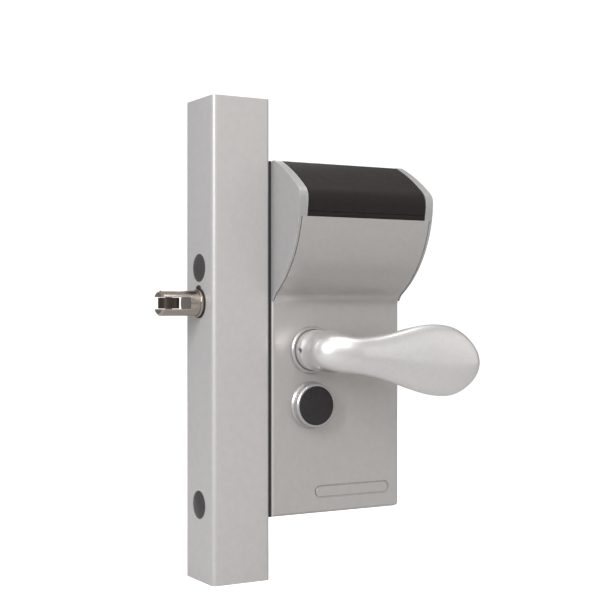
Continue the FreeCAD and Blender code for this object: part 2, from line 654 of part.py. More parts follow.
def code_chamber():
    """Block behind the plate that guides the stems and holds their springs."""
    block = box(KEYPAD_MIDDLE - CHAMBER_HALF, KEYPAD_MIDDLE + CHAMBER_HALF, 1.0, KEYPAD_LENGTH - 1.0,
                CHAMBER_TOP - CHAMBER_DEPTH, CHAMBER_TOP)
    for across in (-2.5, -0.5, 0.5, 2.5):
        post = rod_z(KEYPAD_MIDDLE + across * BUTTON_PITCH, KEYPAD_LENGTH / 2, CHAMBER_POST_R,
                     CHAMBER_TOP, -KEYPAD_PLATE_THICKNESS)
        block = block.fuse(post)
    for _, x, y in button_places():
        block = block.cut(rod_z(x, y, BUTTON_STEM_R + RUNNING_FIT, CHAMBER_TOP - CHAMBER_DEPTH + CHAMBER_FLOOR, 1))
    return on_keypad(block)


def button_springs():
    floor = CHAMBER_TOP - CHAMBER_DEPTH + CHAMBER_FLOOR
    springs = []
    for _, x, y in button_places():
        spring = coil(V(x, y, floor + 0.35), V(0, 0, 1), 1.3, 0.5, STEM_END - floor - 0.75, 3)
        springs.append(spring)
    return on_keypad(Part.makeCompound(springs))


def keypad_flap():
    """Curved lid over the keypad, with its hinge knuckle and a grip groove near its edge."""
    start = -HOOD.flap_turn + math.degrees(BODY_GAP / HOOD_BELLY_RADIUS)
    depth = FLAP_THICKNESS
    nose, nose_start, nose_end = HOOD.lid_nose()
    arcs = [(HOOD.belly, HOOD_BELLY_RADIUS, start, nose_start), (nose, LID_NOSE_RADIUS, nose_start, nose_end),
            (HOOD.top, HOOD_TOP_RADIUS, nose_end, HOOD.hinge_turn)]
    outer = [HOOD.arc(centre, radius, low, high) for centre, radius, low, high in arcs]
    inner = [backwards(HOOD.arc(centre, radius - depth, low, high)) for centre, radius, low, high in arcs]
    edges = outer + inner[::-1]
    left = FLAP_LEFT + FLAP_GAP
    right = FLAP_RIGHT - FLAP_GAP
    lid = prism(edges, left, right)
    low = start + GRIP_GROOVE_START
    high = low + GRIP_GROOVE_TURN
    groove = [HOOD.arc(HOOD.belly, HOOD_BELLY_RADIUS + 1, low, high),
              backwards(HOOD.arc(HOOD.belly, HOOD_BELLY_RADIUS - GRIP_GROOVE_DEPTH, low, high))]
    reach, z = HOOD.hinge
    knuckle = rod_x(FRONT - reach, z, HINGE_KNUCKLE_R, left, right)
    flap = fused([lid.cut(prism(groove, left - 1, right + 1)), knuckle])
    return flap.cut(rod_x(FRONT - reach, z, HINGE_PIN_R + RUNNING_FIT, left - 1, right + 1))


def flap_hinge_pin():
    reach, z = HOOD.hinge
    return rod_x(FRONT - reach, z, HINGE_PIN_R, FLAP_LEFT - HINGE_PIN_SEAT, FLAP_RIGHT + HINGE_PIN_SEAT)


# --- handle set ----------------------------------------------------------------------------------------

def rosette():
    """Raised ring that the handle's neck turns in."""
    inner = HANDLE_NECK_R + ROSETTE_FIT
    outer = inner + ROSETTE_WIDTH
    rim = FRONT - ROSETTE_HEIGHT
    profile = [(inner, FRONT), (outer, FRONT), (outer, rim + ROSETTE_BEVEL), (outer - ROSETTE_BEVEL, rim),
               (inner, rim)]
    return turned(profile, HANDLE_X, HANDLE_Z)


def handle_sections():
    """Stations along the handle: centre x from its axis, centre y, drop, turn, height, thickness."""
    lever = FRONT - HANDLE_STANDOFF
    neck = 2 * HANDLE_NECK_R - 0.3
    foot = FRONT - BODY_GAP
    return [(0.0, foot - NECK_LENGTH, 0.0, 0, neck, neck),
            (0.3, foot - 12.5, -0.3, 10, neck - 0.4, neck - 1.0),
            (3.0, lever + 3.8, -1.4, 42, neck - 1.6, 20.0),
            (9.5, lever + 0.6, -2.4, 74, neck - 2.6, 15.6),
            (20.0, lever, -3.2, 90, 25.0, 14.4),
            (33.0, lever, -4.1, 90, 30.0, 14.0),
            (53.0, lever, -5.4, 90, 40.6, 13.6),
            (72.0, lever, -6.7, 90, 46.2, 13.0),
            (84.0, lever, -7.5, 90, 44.0, 12.0),
            (94.0, lever, -8.1, 90, 35.0, 10.6),
            (101.0, lever, -8.6, 90, 23.0, 8.4),
            (HANDLE_REACH, lever, -8.9, 90, 9.0, 4.0)]


def section_wire(station):
    """A closed smooth section across the handle's path."""
    x, y, drop, turn, height, thickness = station
    angle = math.radians(turn)
    points = []
    for step in range(16):
        t = 2 * math.pi * step / 16
        across = thickness / 2 * math.cos(t)
        up = height / 2 * math.sin(t)
        points.append(V(HANDLE_X + x - across * math.cos(angle), y - across * math.sin(angle),
                        HANDLE_Z + drop + up))
    curve = Part.BSplineCurve()
    curve.interpolate(Points=points, PeriodicFlag=True)
    return Part.Wire(curve.toShape())


def handle():
    """Paddle lever on a round neck, with the spindle's square hole and a set screw hole."""
    foot = FRONT - BODY_GAP
    lever = Part.makeLoft([section_wire(station) for station in handle_sections()], True, False)
    grip = fused([rod_y(HANDLE_X, HANDLE_Z, HANDLE_NECK_R, foot - NECK_LENGTH, foot), lever])
    half = SPINDLE_SQUARE / 2
    hole = box(HANDLE_X - half, HANDLE_X + half, FRONT - SPINDLE_REACH - 0.5, FRONT, HANDLE_Z - half, HANDLE_Z + half)
    screw = rod_x(FRONT - GRUB_DROP, HANDLE_Z, GRUB_R + RUNNING_FIT, HANDLE_X - HANDLE_NECK_R - 1, HANDLE_X)
    return grip.cut(hole).cut(screw)


def grub_screw():
    """Set screw in the neck's left side, with a socket in its end."""
    outer = HANDLE_X - HANDLE_NECK_R + GRUB_STANDS_OUT
    screw = rod_x(FRONT - GRUB_DROP, HANDLE_Z, GRUB_R, outer, HANDLE_X - SPINDLE_SQUARE / 2)
    return screw.cut(rod_x(FRONT - GRUB_DROP, HANDLE_Z, GRUB_R / 2, outer - 1, outer + GRUB_R))


def spindle():
    half = SPINDLE_SQUARE / 2 - RUNNING_FIT
    end = REAR + SPINDLE_REACH
    return box(HANDLE_X - half, HANDLE_X + half, -end, end, HANDLE_Z - half, HANDLE_Z + half)


def drive_pin_place():
    angle = math.radians(HUB_REST_TILT)
    return HANDLE_X - HUB_ARM * math.sin(angle), HANDLE_Z + HUB_ARM * math.cos(angle)


def handle_hub():
    """Hub on the spindle, with trunnions and the arm whose pin drives the latch slider."""
    barrel = rod_y(HANDLE_X, HANDLE_Z, HUB_R, -PLATE_IN + BODY_GAP, PLATE_IN - BODY_GAP)
    trunnion = rod_y(HANDLE_X, HANDLE_Z, TRUNNION_R, -PLATE_OUT - TRUNNION_REACH, PLATE_OUT + TRUNNION_REACH)
    half_arm = HUB_ARM_WIDTH / 2
    thick = HUB_ARM_THICKNESS / 2
    arm = box(HANDLE_X - half_arm, HANDLE_X + half_arm, -thick, thick, HANDLE_Z, HANDLE_Z + HUB_ARM)
    arm.rotate(V(HANDLE_X, 0, HANDLE_Z), V(0, 1, 0), -HUB_REST_TILT)
    x, z = drive_pin_place()
    end = rod_y(x, z, HUB_EYE_R, -thick, thick)
    pin = rod_y(x, z, DRIVE_PIN_R, -SLIDER_HALF, SLIDER_HALF)
    half = SPINDLE_SQUARE / 2
    hole = box(HANDLE_X - half, HANDLE_X + half, -30, 30, HANDLE_Z - half, HANDLE_Z + half)
    return fused([barrel, trunnion, arm, end, pin]).cut(hole)


def hub_bush():
    """Flanged bush for the hub's trunnion in the front chassis plate."""
    bush = fused([rod_y(HANDLE_X, HANDLE_Z, HUB_BUSH_R, -PLATE_OUT, -PLATE_IN),
                  rod_y(HANDLE_X, HANDLE_Z, HUB_BUSH_FLANGE_R, -PLATE_OUT - HUB_BUSH_FLANGE, -PLATE_OUT)])
    return bush.cut(rod_y(HANDLE_X, HANDLE_Z, TRUNNION_R + RUNNING_FIT, -PLATE_OUT - 2, 0))


def handle_return_spring():
    return coil(V(HANDLE_X, -PLATE_OUT - HUB_BUSH_FLANGE - 0.8, HANDLE_Z), V(0, -1, 0), TRUNNION_R + 1.3, SPRING_WIRE, 4.6, 2)


# --- chassis and cylinder --------------------------------------------------------------------------------

def chassis_plate():
    """Steel plate across the case in front of the mechanism."""
    plate = box(INNER_LEFT, INNER_RIGHT, -PLATE_OUT, -PLATE_IN, INNER_BOTTOM, INNER_TOP)
    plate = plate.cut(rod_y(HANDLE_X, HANDLE_Z, HUB_BUSH_R, -PLATE_OUT - 1, 0))
    plate = plate.cut(rod_y(HANDLE_X, CYLINDER_Z, BARREL_R + RUNNING_FIT, -PLATE_OUT - 1, 0))
    for x, z in SCREW_PLACES:
        plate = plate.cut(rod_y(x, z, SCREW_R + RUNNING_FIT, -PLATE_OUT - 1, 0))
    return plate


def chassis_spacers():
    places = [(INNER_RIGHT - 10, LATCH_Z + 12), (INNER_RIGHT - 10, CYLINDER_Z), (INNER_LEFT + 40, INNER_BOTTOM + 14)]
    return Part.makeCompound([rod_y(x, z, 3.5, -PLATE_IN, PLATE_IN) for x, z in places])


def cylinder_collar():
    """Turned boss round the end of the override barrel."""
    seat = FRONT - COLLAR_HEIGHT + COLLAR_SEAT_DEPTH
    rim = FRONT - COLLAR_HEIGHT
    profile = [(BARREL_R + RUNNING_FIT, FRONT), (COLLAR_BASE_R, FRONT), (COLLAR_BASE_R, FRONT - 1.2),
               (COLLAR_RIM_R + 0.35, FRONT - 2.2), (COLLAR_RIM_R, FRONT - 3.4), (COLLAR_RIM_R, rim + 0.7),
               (COLLAR_RIM_R - 0.7, rim), (CAP_R + RUNNING_FIT, rim), (CAP_R + RUNNING_FIT, seat),
               (BARREL_R + RUNNING_FIT, seat)]
    return turned(profile, HANDLE_X, CYLINDER_Z)


def cylinder_cap():
    """Domed weather cap pressed into the collar."""
    seat = FRONT - COLLAR_HEIGHT + COLLAR_SEAT_DEPTH
    edge = FRONT - COLLAR_HEIGHT - CAP_EDGE_RISE
    sphere_r = (CAP_R ** 2 + CAP_RISE ** 2) / (2 * CAP_RISE)
    dome = Part.makeSphere(sphere_r, V(HANDLE_X, edge - CAP_RISE + sphere_r, CYLINDER_Z))
    return dome.common(rod_y(HANDLE_X, CYLINDER_Z, CAP_R, edge - CAP_RISE - 1, seat))


def override_barrel():
    end = -FRONT + COLLAR_HEIGHT - COLLAR_SEAT_DEPTH - 0.2
    return rod_y(HANDLE_X, CYLINDER_Z, BARREL_R, -end, end)


def override_cam():
    half = CAM_THICKNESS / 2
    side = CAM_WIDTH / 2
    ring = rod_y(HANDLE_X, CYLINDER_Z, BARREL_R + CAM_RING, -half, half)
    finger = box(HANDLE_X - side, HANDLE_X + side, -half, half, CYLINDER_Z, HANDLE_Z - HUB_R - 1.5)
    return fused([ring, finger]).cut(rod_y(HANDLE_X, CYLINDER_Z, BARREL_R + RUNNING_FIT, -half - 1, half + 1))


def code_slide():
    """Steel bar that carries the code chamber's state down to the hub."""
    bar = box(HANDLE_X + 14, HANDLE_X + 22, -PLATE_OUT - 2, -PLATE_OUT, HANDLE_Z + 4, HANDLE_Z + 81)
    tongue = box(HANDLE_X + 14, HANDLE_X + 22, FRONT - 10.2, -PLATE_OUT, HANDLE_Z + 78, HANDLE_Z + 81)
    return fused([bar, tongue])


# --- latch ---------------------------------------------------------------------------------------------
LATCH_TIP = -HALF_PROFILE - LATCH_PROJECTION
LATCH_BACK = -8.0
ROLLER_X = LATCH_TIP + ROLLER_R + 0.5
SLIDER_LEFT = INNER_LEFT + ROD_BUSH_FLANGE + BODY_GAP
SLIDER_BLOCK_END = BODY_LEFT + 12.2
SPRING_STOP_X = HANDLE_X + 34.0


def latch_bolt():
    """Round bolt, slotted at its tip for the roller and drilled at its back for the rod."""
    bolt = rod_x(0, LATCH_Z, LATCH_R, LATCH_TIP, LATCH_BACK)
    tip = [edge for edge in bolt.Edges if abs(edge.CenterOfMass.x - LATCH_TIP) < 0.01]
    bolt = bolt.makeChamfer(LATCH_TIP_CHAMFER, tip)
    half = LATCH_SLOT_HEIGHT / 2
    slot = box(LATCH_TIP - 1, LATCH_TIP + LATCH_SLOT_DEPTH, -LATCH_R - 1, LATCH_R + 1,
               LATCH_Z - half, LATCH_Z + half)
    bolt = bolt.cut(slot).cut(rod_x(0, LATCH_Z, LATCH_ROD_R, LATCH_BACK - ROD_SEAT_DEPTH, LATCH_BACK + 1))
    return bolt.cut(rod_z(ROLLER_X, 0, ROLLER_PIN_R, LATCH_Z - LATCH_R + 0.3, LATCH_Z + LATCH_R))


def latch_roller():
    half = LATCH_SLOT_HEIGHT / 2 - BODY_GAP
    roller = rod_z(ROLLER_X, 0, ROLLER_R, LATCH_Z - half, LATCH_Z + half)
    return roller.cut(rod_z(ROLLER_X, 0, ROLLER_PIN_R + RUNNING_FIT, LATCH_Z - LATCH_R, LATCH_Z + LATCH_R))


def latch_roller_pin():
    return rod_z(ROLLER_X, 0, ROLLER_PIN_R, LATCH_Z - LATCH_R + 0.3, LATCH_Z + LATCH_R - 0.3)


def latch_guide_ring():
    face = -HALF_PROFILE - BUSH_FLANGE
    front = face - GUIDE_RING_THICKNESS
    ring = rod_x(0, LATCH_Z, LATCH_R + GUIDE_RING_WIDTH, front, face)
    return ring.cut(rod_x(0, LATCH_Z, LATCH_R + RUNNING_FIT, front - 1, face + 1))


def latch_rod():
    return rod_x(0, LATCH_Z, LATCH_ROD_R, LATCH_BACK - ROD_SEAT_DEPTH, SLIDER_BLOCK_END)


def latch_lock_nut():
    turns = [math.radians(60 * corner) for corner in range(7)]
    points = [V(LATCH_BACK, NUT_CORNER_R * math.sin(turn), LATCH_Z + NUT_CORNER_R * math.cos(turn))
              for turn in turns]
    nut = Part.Face(Part.makePolygon(points)).extrude(V(NUT_THICKNESS, 0, 0))
    return nut.cut(rod_x(0, LATCH_Z, LATCH_ROD_R, LATCH_BACK - 1, LATCH_BACK + NUT_THICKNESS + 1))


def latch_slider():
    """Fork on the rod whose two upright slots take the hub's drive pin."""
    x, z = drive_pin_place()
    top = HANDLE_Z + HUB_ARM
    low, high = z - 6.5, top + 9.0
    right = x + 10.6
    fork = box(SLIDER_LEFT, right, -SLIDER_HALF, SLIDER_HALF, low, high)
    fork = fork.cut(box(SLIDER_BLOCK_END, x + 7.2, -3.2, 3.2, low - 1, high + 1))
    slot = box(x - DRIVE_PIN_R - BODY_GAP, x + DRIVE_PIN_R + BODY_GAP, -7, 7,
               z - DRIVE_PIN_R - BODY_GAP, top + DRIVE_PIN_R + BODY_GAP)
    return fork.cut(slot).cut(rod_x(0, LATCH_Z, LATCH_ROD_R, SLIDER_LEFT - 1, SLIDER_BLOCK_END))


def latch_spring():
    x, _ = drive_pin_place()
    start = x + 10.6 + 0.8
    return coil(V(start, 0, LATCH_Z), V(1, 0, 0), LATCH_SPRING_R, SPRING_WIRE, SPRING_STOP_X - start - 0.8, 5)


def spring_stop():
    return box(SPRING_STOP_X, SPRING_STOP_X + 3, -PLATE_IN, PLATE_IN, LATCH_Z - 8, LATCH_Z + 8)


def build():
    """Every sub-part by name."""
    parts = {"gate_profile": gate_profile(), "hole_plugs": hole_plugs(), "latch_bush": latch_bush(),
             "latch_guide_ring": latch_guide_ring(), "mounting_gasket": mounting_gasket(),
             "fixing_bolts": fixing_bolts(), "lock_case": lock_case(), "rod_bush": rod_bush(),
             "front_cover": front_cover(), "rear_cover": rear_cover(), "cover_screws": cover_screws(),
             "badge_plate": badge_plate(), "keypad_housing": keypad_housing(), "keypad_plate": keypad_plate(),
             "code_chamber": code_chamber(), "button_springs": button_springs(), "keypad_flap": keypad_flap(),
             "flap_hinge_pin": flap_hinge_pin(), "spindle": spindle(), "handle_hub": handle_hub(),
             "handle_return_spring": handle_return_spring(), "chassis_spacers": chassis_spacers(),
             "override_barrel": override_barrel(), "override_cam": override_cam(), "code_slide": code_slide(),
             "latch_bolt": latch_bolt(), "latch_roller": latch_roller(), "latch_roller_pin": latch_roller_pin(),
             "latch_rod": latch_rod(), "latch_lock_nut": latch_lock_nut(), "latch_slider": latch_slider(),
             "latch_spring": latch_spring(), "spring_stop": spring_stop()}
    for name, shape in {"grub_screws": grub_screw(), "hub_bushes": hub_bush()}.items():
        parts[name] = Part.makeCompound([shape, mirrored_to_rear(shape)])
    both_sides = {"handle": handle(), "rosette": rosette(), "chassis_plate": chassis_plate(),
                  "cylinder_collar": cylinder_collar(), "cylinder_cap": cylinder_cap()}
    for name, shape in both_sides.items():
        parts["front_" + name] = shape
        parts["rear_" + name] = mirrored_to_rear(shape)
    for name, x, y in button_places():
        parts["button_" + name] = button(x, y)
    return parts


os.makedirs("parts", exist_ok=True)
for node, solid in build().items():
    save(node, solid)
    print(node, len(solid.Solids), round(solid.Volume, 1), solid.isValid())
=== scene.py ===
"""Looks of a keypad gate lock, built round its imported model.

Metres, +Z up, +Y away from the keypad.
"""

import logging
import math
from dataclasses import dataclass, field
from enum import Enum

import bmesh
import bpy
from mathutils import Euler, Matrix, Vector


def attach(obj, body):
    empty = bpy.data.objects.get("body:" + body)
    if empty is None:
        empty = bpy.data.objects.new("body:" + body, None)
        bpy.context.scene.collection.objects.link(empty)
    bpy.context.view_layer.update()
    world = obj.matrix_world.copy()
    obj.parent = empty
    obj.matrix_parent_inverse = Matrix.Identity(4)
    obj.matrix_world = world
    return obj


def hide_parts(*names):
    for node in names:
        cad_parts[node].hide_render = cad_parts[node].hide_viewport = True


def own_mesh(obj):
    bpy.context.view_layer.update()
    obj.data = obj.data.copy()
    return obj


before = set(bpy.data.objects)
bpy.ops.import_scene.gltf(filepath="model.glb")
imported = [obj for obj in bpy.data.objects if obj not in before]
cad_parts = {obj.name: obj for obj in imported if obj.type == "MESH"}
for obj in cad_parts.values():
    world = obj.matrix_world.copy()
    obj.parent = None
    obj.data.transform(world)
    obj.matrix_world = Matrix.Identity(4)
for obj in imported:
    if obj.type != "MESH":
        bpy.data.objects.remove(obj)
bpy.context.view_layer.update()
LOG = logging.getLogger("gate_lock")
MM = 0.001
MERGE_DISTANCE = 0.002 * MM
SPRING_MERGE_DISTANCE = 0.0001 * MM
HANDLED_SHARE = 0.2
HANDLED_TONE = (0.93, 0.93, 0.925, 1.0)
COARSE_GRAIN_SCALE = 0.18
COARSE_GRAIN_SHARE = 0.35
SCREW_FOOT_RADIUS = 2.0 * MM
ROUND_SIDES = 48
WIRE_SIDES = 10
HEXAGON = 6

Colour = tuple[float, float, float]
Point = tuple[float, float, float]


# --- shader groups --------------------------------------------------------------------------------

class Grain(Enum):
    """Which way a finish's fine texture runs, as the scale of its noise along X, Y and Z."""

    EVEN = (1.0, 1.0, 1.0)
    ALONG_X = (0.06, 1.0, 1.0)


class TreeBuilder:
    """A node tree with named inputs and outputs."""

    def __init__(self, name: str, kind: str = "ShaderNodeTree") -> None:
        """Start an empty tree.

        Args:
            name: The tree's name.
            kind: The tree's type.
        """
        self.tree = bpy.data.node_groups.new(name, kind)
        self.source = self.tree.nodes.new("NodeGroupInput")
        self.sink = self.tree.nodes.new("NodeGroupOutput")

    def socket(self, name: str, way: str, kind: str = "NodeSocketFloat",
               value: object = None) -> None:
        """Add an input or an output.

        Args:
            name: The socket's name.
            way: INPUT or OUTPUT.
            kind: The socket's type.
            value: An input's default.
        """
        made = self.tree.interface.new_socket(name, in_out=way, socket_type=kind)
        if value is not None:
            made.default_value = value

    def node(self, kind: str, **settings: object) -> bpy.types.Node:
        """Add a node.

        Args:
            kind: The node's type.
            settings: Properties to set on it.

        Returns:
            The new node.
        """
        made = self.tree.nodes.new(kind)
        for key, value in settings.items():
            setattr(made, key, value)
        return made

    def link(self, start: bpy.types.NodeSocket, end: bpy.types.NodeSocket) -> None:
        """Join two sockets."""
        self.tree.links.new(start, end)


def fine_grain_group() -> bpy.types.NodeTree:
    """Fine surface texture: a mask of its tone, and its height.

    Returns:
        The node group.
    """
    group = TreeBuilder("fine_grain")
    group.socket("Scale", "INPUT", value=900.0)
    group.socket("Stretch", "INPUT", "NodeSocketVector", (1.0, 1.0, 1.0))
    group.socket("Tone", "OUTPUT")
    group.socket("Height", "OUTPUT")
    place = group.node("ShaderNodeTexCoord")
    stretch = group.node("ShaderNodeVectorMath", operation="MULTIPLY")
    group.link(place.outputs["Object"], stretch.inputs[0])
    group.link(group.source.outputs["Stretch"], stretch.inputs[1])
    coarse_scale = group.node("ShaderNodeMath", operation="MULTIPLY")
    coarse_scale.inputs[1].default_value = COARSE_GRAIN_SCALE
    group.link(group.source.outputs["Scale"], coarse_scale.inputs[0])
    fine = group.node("ShaderNodeTexNoise")
    fine.inputs["Detail"].default_value = 3.0
    coarse = group.node("ShaderNodeTexNoise")
    coarse.inputs["Detail"].default_value = 2.0
    group.link(stretch.outputs[0], fine.inputs["Vector"])
    group.link(stretch.outputs[0], coarse.inputs["Vector"])
    group.link(group.source.outputs["Scale"], fine.inputs["Scale"])
    group.link(coarse_scale.outputs[0], coarse.inputs["Scale"])
    blend = group.node("ShaderNodeMix", data_type="FLOAT")
    blend.inputs["Factor"].default_value = COARSE_GRAIN_SHARE
    group.link(fine.outputs["Fac"], blend.inputs["A"])
    group.link(coarse.outputs["Fac"], blend.inputs["B"])
    tone = group.node("ShaderNodeMapRange")
    tone.inputs["From Min"].default_value = 0.35
    tone.inputs["From Max"].default_value = 0.65
    group.link(blend.outputs["Result"], tone.inputs["Value"])
    group.link(tone.outputs["Result"], group.sink.inputs["Tone"])
    group.link(blend.outputs["Result"], group.sink.inputs["Height"])
    return group.tree


def edge_wear_and_highlight_group() -> bpy.types.NodeTree:
    """A mask of the object's edges, broken up by noise: rubbed-edge wear, and on the cheek a painted
    highlight along its rim.

    Returns:
        The node group.
    """
    group = TreeBuilder("edge_wear_and_highlight")
    group.socket("Radius", "INPUT", value=0.0008)
    group.socket("Amount", "INPUT", value=0.5)
    group.socket("Mask", "OUTPUT")
    geometry = group.node("ShaderNodeNewGeometry")
    rounded = group.node("ShaderNodeBevel", samples=4)
    group.link(group.source.outputs["Radius"], rounded.inputs["Radius"])
    turn = group.node("ShaderNodeVectorMath", operation="DOT_PRODUCT")
    group.link(geometry.outputs["Normal"], turn.inputs[0])
    group.link(rounded.outputs["Normal"], turn.inputs[1])
    edge = group.node("ShaderNodeMapRange")
    edge.inputs["From Min"].default_value = 0.995
    edge.inputs["From Max"].default_value = 0.86
    group.link(turn.outputs["Value"], edge.inputs["Value"])
    place = group.node("ShaderNodeTexCoord")
    patches = group.node("ShaderNodeTexNoise")
    patches.inputs["Scale"].default_value = 160.0
    patches.inputs["Detail"].default_value = 4.0
    group.link(place.outputs["Object"], patches.inputs["Vector"])
    broken = group.node("ShaderNodeMapRange")
    broken.inputs["From Min"].default_value = 0.35
    broken.inputs["From Max"].default_value = 0.6
    group.link(patches.outputs["Fac"], broken.inputs["Value"])
    mask = group.node("ShaderNodeMath", operation="MULTIPLY")
    group.link(edge.outputs["Result"], mask.inputs[0])
    group.link(broken.outputs["Result"], mask.inputs[1])
    amount = group.node("ShaderNodeMath", operation="MULTIPLY")
    group.link(mask.outputs[0], amount.inputs[0])
    group.link(group.source.outputs["Amount"], amount.inputs[1])
    group.link(amount.outputs[0], group.sink.inputs["Mask"])
    return group.tree


def handling_group() -> bpy.types.NodeTree:
    """Wide soft patches where a surface has been wiped and handled.

    Returns:
        The node group.
    """
    group = TreeBuilder("handling")
    group.socket("Scale", "INPUT", value=30.0)
    group.socket("Mask", "OUTPUT")
    place = group.node("ShaderNodeTexCoord")
    clouds = group.node("ShaderNodeTexNoise")
    clouds.inputs["Detail"].default_value = 5.0
    clouds.inputs["Roughness"].default_value = 0.6
    group.link(place.outputs["Object"], clouds.inputs["Vector"])
    group.link(group.source.outputs["Scale"], clouds.inputs["Scale"])
    soft = group.node("ShaderNodeMapRange")
    soft.inputs["From Min"].default_value = 0.3
    soft.inputs["From Max"].default_value = 0.7
    group.link(clouds.outputs["Fac"], soft.inputs["Value"])
    group.link(soft.outputs["Result"], group.sink.inputs["Mask"])
    return group.tree


GRAIN_GROUP = fine_grain_group()
EDGE_WEAR_AND_HIGHLIGHT_GROUP = edge_wear_and_highlight_group()
HANDLING_GROUP = handling_group()


# --- finishes -------------------------------------------------------------------------------------

@dataclass(frozen=True)
class Finish:
    """A surface finish: its colours, gloss and fine texture."""

    name: str
    colour: Colour
    second: Colour
    worn_and_highlight: Colour
    metallic: float = 0.0
    roughness: float = 0.45
    rough_spread: float = 0.08
    grain: Grain = Grain.EVEN
    grain_scale: float = 900.0
    grain_height: float = 0.00002
    wear_and_highlight: float = 0.3
    wear_and_highlight_radius: float = 0.0007
    specular: float = 0.5
    handling_scale: float = 30.0

    def material(self) -> bpy.types.Material:
        """Make the finish's material, or give the one already made.

        Returns:
            The material.
        """
        title = self.name + "_finish"
        known = bpy.data.materials.get(title)
        if known:
            return known
        made = bpy.data.materials.new(title)
        made.use_nodes = True
        tree = made.node_tree
        shader = tree.nodes["Principled BSDF"]
        shader.inputs["Metallic"].default_value = self.metallic
        shader.inputs["Specular IOR Level"].default_value = self.specular
        grain = self._group(tree, GRAIN_GROUP, Scale=self.grain_scale, Stretch=self.grain.value)
        handling = self._group(tree, HANDLING_GROUP, Scale=self.handling_scale)
        self._tint(tree, shader, grain, handling)
        self._gloss(tree, shader, grain, handling)
        self._relief(tree, shader, grain)
        return made

    def _tint(self, tree: bpy.types.NodeTree, shader: bpy.types.Node, grain: bpy.types.Node,
              handling: bpy.types.Node) -> None:
        """Mix the two colours by grain, cloud them by handling and lighten them at the edges:
        rubbed-edge wear, and on the cheek a painted highlight along its rim.

        Args:
            tree: The material's tree.
            shader: Its shader.
            grain: The fine texture's group.
            handling: The handling's group.
        """
        wear_and_highlight = self._group(tree, EDGE_WEAR_AND_HIGHLIGHT_GROUP, Radius=self.wear_and_highlight_radius, Amount=self.wear_and_highlight)
        tint = ColourMix(tree, "tint")
        tree.links.new(grain.outputs["Tone"], tint.share)
        tint.first.default_value = (*self.colour, 1.0)
        tint.second.default_value = (*self.second, 1.0)
        cloud_share = tree.nodes.new("ShaderNodeMath")
        cloud_share.operation = "MULTIPLY"
        cloud_share.inputs[1].default_value = HANDLED_SHARE
        tree.links.new(handling.outputs["Mask"], cloud_share.inputs[0])
        clouded = ColourMix(tree, "clouded", "MULTIPLY")
        tree.links.new(cloud_share.outputs[0], clouded.share)
        tree.links.new(tint.result, clouded.first)
        clouded.second.default_value = HANDLED_TONE
        # Lighter edges: rubbed-edge wear, and on the cheek a painted highlight along its rim.
        rubbed_and_highlighted = ColourMix(tree, "rubbed_and_highlighted")
        tree.links.new(wear_and_highlight.outputs["Mask"], rubbed_and_highlighted.share)
        tree.links.new(clouded.result, rubbed_and_highlighted.first)
        rubbed_and_highlighted.second.default_value = (*self.worn_and_highlight, 1.0)
        tree.links.new(rubbed_and_highlighted.result, shader.inputs["Base Color"])

    def _gloss(self, tree: bpy.types.NodeTree, shader: bpy.types.Node, grain: bpy.types.Node,
               handling: bpy.types.Node) -> None:
        """Vary the roughness by grain and handling.

        Args:
            tree: The material's tree.
            shader: Its shader.
            grain: The fine texture's group.
            handling: The handling's group.
        """
        both = tree.nodes.new("ShaderNodeMath")
        both.operation = "ADD"
        tree.links.new(grain.outputs["Tone"], both.inputs[0])
        tree.links.new(handling.outputs["Mask"], both.inputs[1])
        spread = tree.nodes.new("ShaderNodeMapRange")
        spread.inputs["From Max"].default_value = 2.0
        spread.inputs["To Min"].default_value = self.roughness - self.rough_spread
        spread.inputs["To Max"].default_value = self.roughness + self.rough_spread
        tree.links.new(both.outputs[0], spread.inputs["Value"])
        tree.links.new(spread.outputs["Result"], shader.inputs["Roughness"])

    def _relief(self, tree: bpy.types.NodeTree, shader: bpy.types.Node,
                grain: bpy.types.Node) -> None:
        """Raise the grain a little.

        Args:
            tree: The material's tree.
            shader: Its shader.
            grain: The fine texture's group.
        """
        bump = tree.nodes.new("ShaderNodeBump")
        bump.inputs["Strength"].default_value = 1.0
        bump.inputs["Distance"].default_value = self.grain_height
        tree.links.new(grain.outputs["Height"], bump.inputs["Height"])
        tree.links.new(bump.outputs["Normal"], shader.inputs["Normal"])

    @staticmethod
    def _group(tree: bpy.types.NodeTree, shared: bpy.types.NodeTree,
               **values: object) -> bpy.types.Node:
        """Place a shared group with its own values.

        Args:
            tree: The material's tree.
            shared: The group.
            values: The group's input values by name.

        Returns:
            The placed group.
        """
        placed = tree.nodes.new("ShaderNodeGroup")
        placed.node_tree = shared
        for key, value in values.items():
            placed.inputs[key].default_value = value
        return placed


class ColourMix:
    """A mix of two colours, with its colour sockets picked out of those it has for other types."""

    def __init__(self, tree: bpy.types.NodeTree, label: str, blend: str = "MIX") -> None:
        """Add the mix.

        Args:
            tree: The material's tree.
            label: What the mix is for.
            blend: How the two colours mix.
        """
        made = tree.nodes.new("ShaderNodeMix")
        made.data_type = "RGBA"
        made.blend_type = blend
        made.label = label
        self.share = made.inputs[0]
        self.first = made.inputs[6]
        self.second = made.inputs[7]
        self.result = made.outputs[2]


def grey(value: float, warmth: float = 0.0) -> Colour:
    """A grey in linear light, warmed or cooled a little."""
    return (value * (1 + warmth), value, value * (1 - warmth))


PROFILE_COAT = Finish(
    "profile_coat", (0.578, 0.568, 0.558), (0.528, 0.519, 0.510), grey(0.75),
    metallic=0.35, roughness=0.40, grain_scale=1500.0, grain_height=0.00003, wear_and_highlight=0.35)
COVER_COAT = Finish(
    "cover_coat", (0.535, 0.515, 0.497), (0.488, 0.470, 0.454), grey(0.75),
    metallic=0.50, roughness=0.36, grain_scale=1500.0, grain_height=0.00003, wear_and_highlight=0.35)
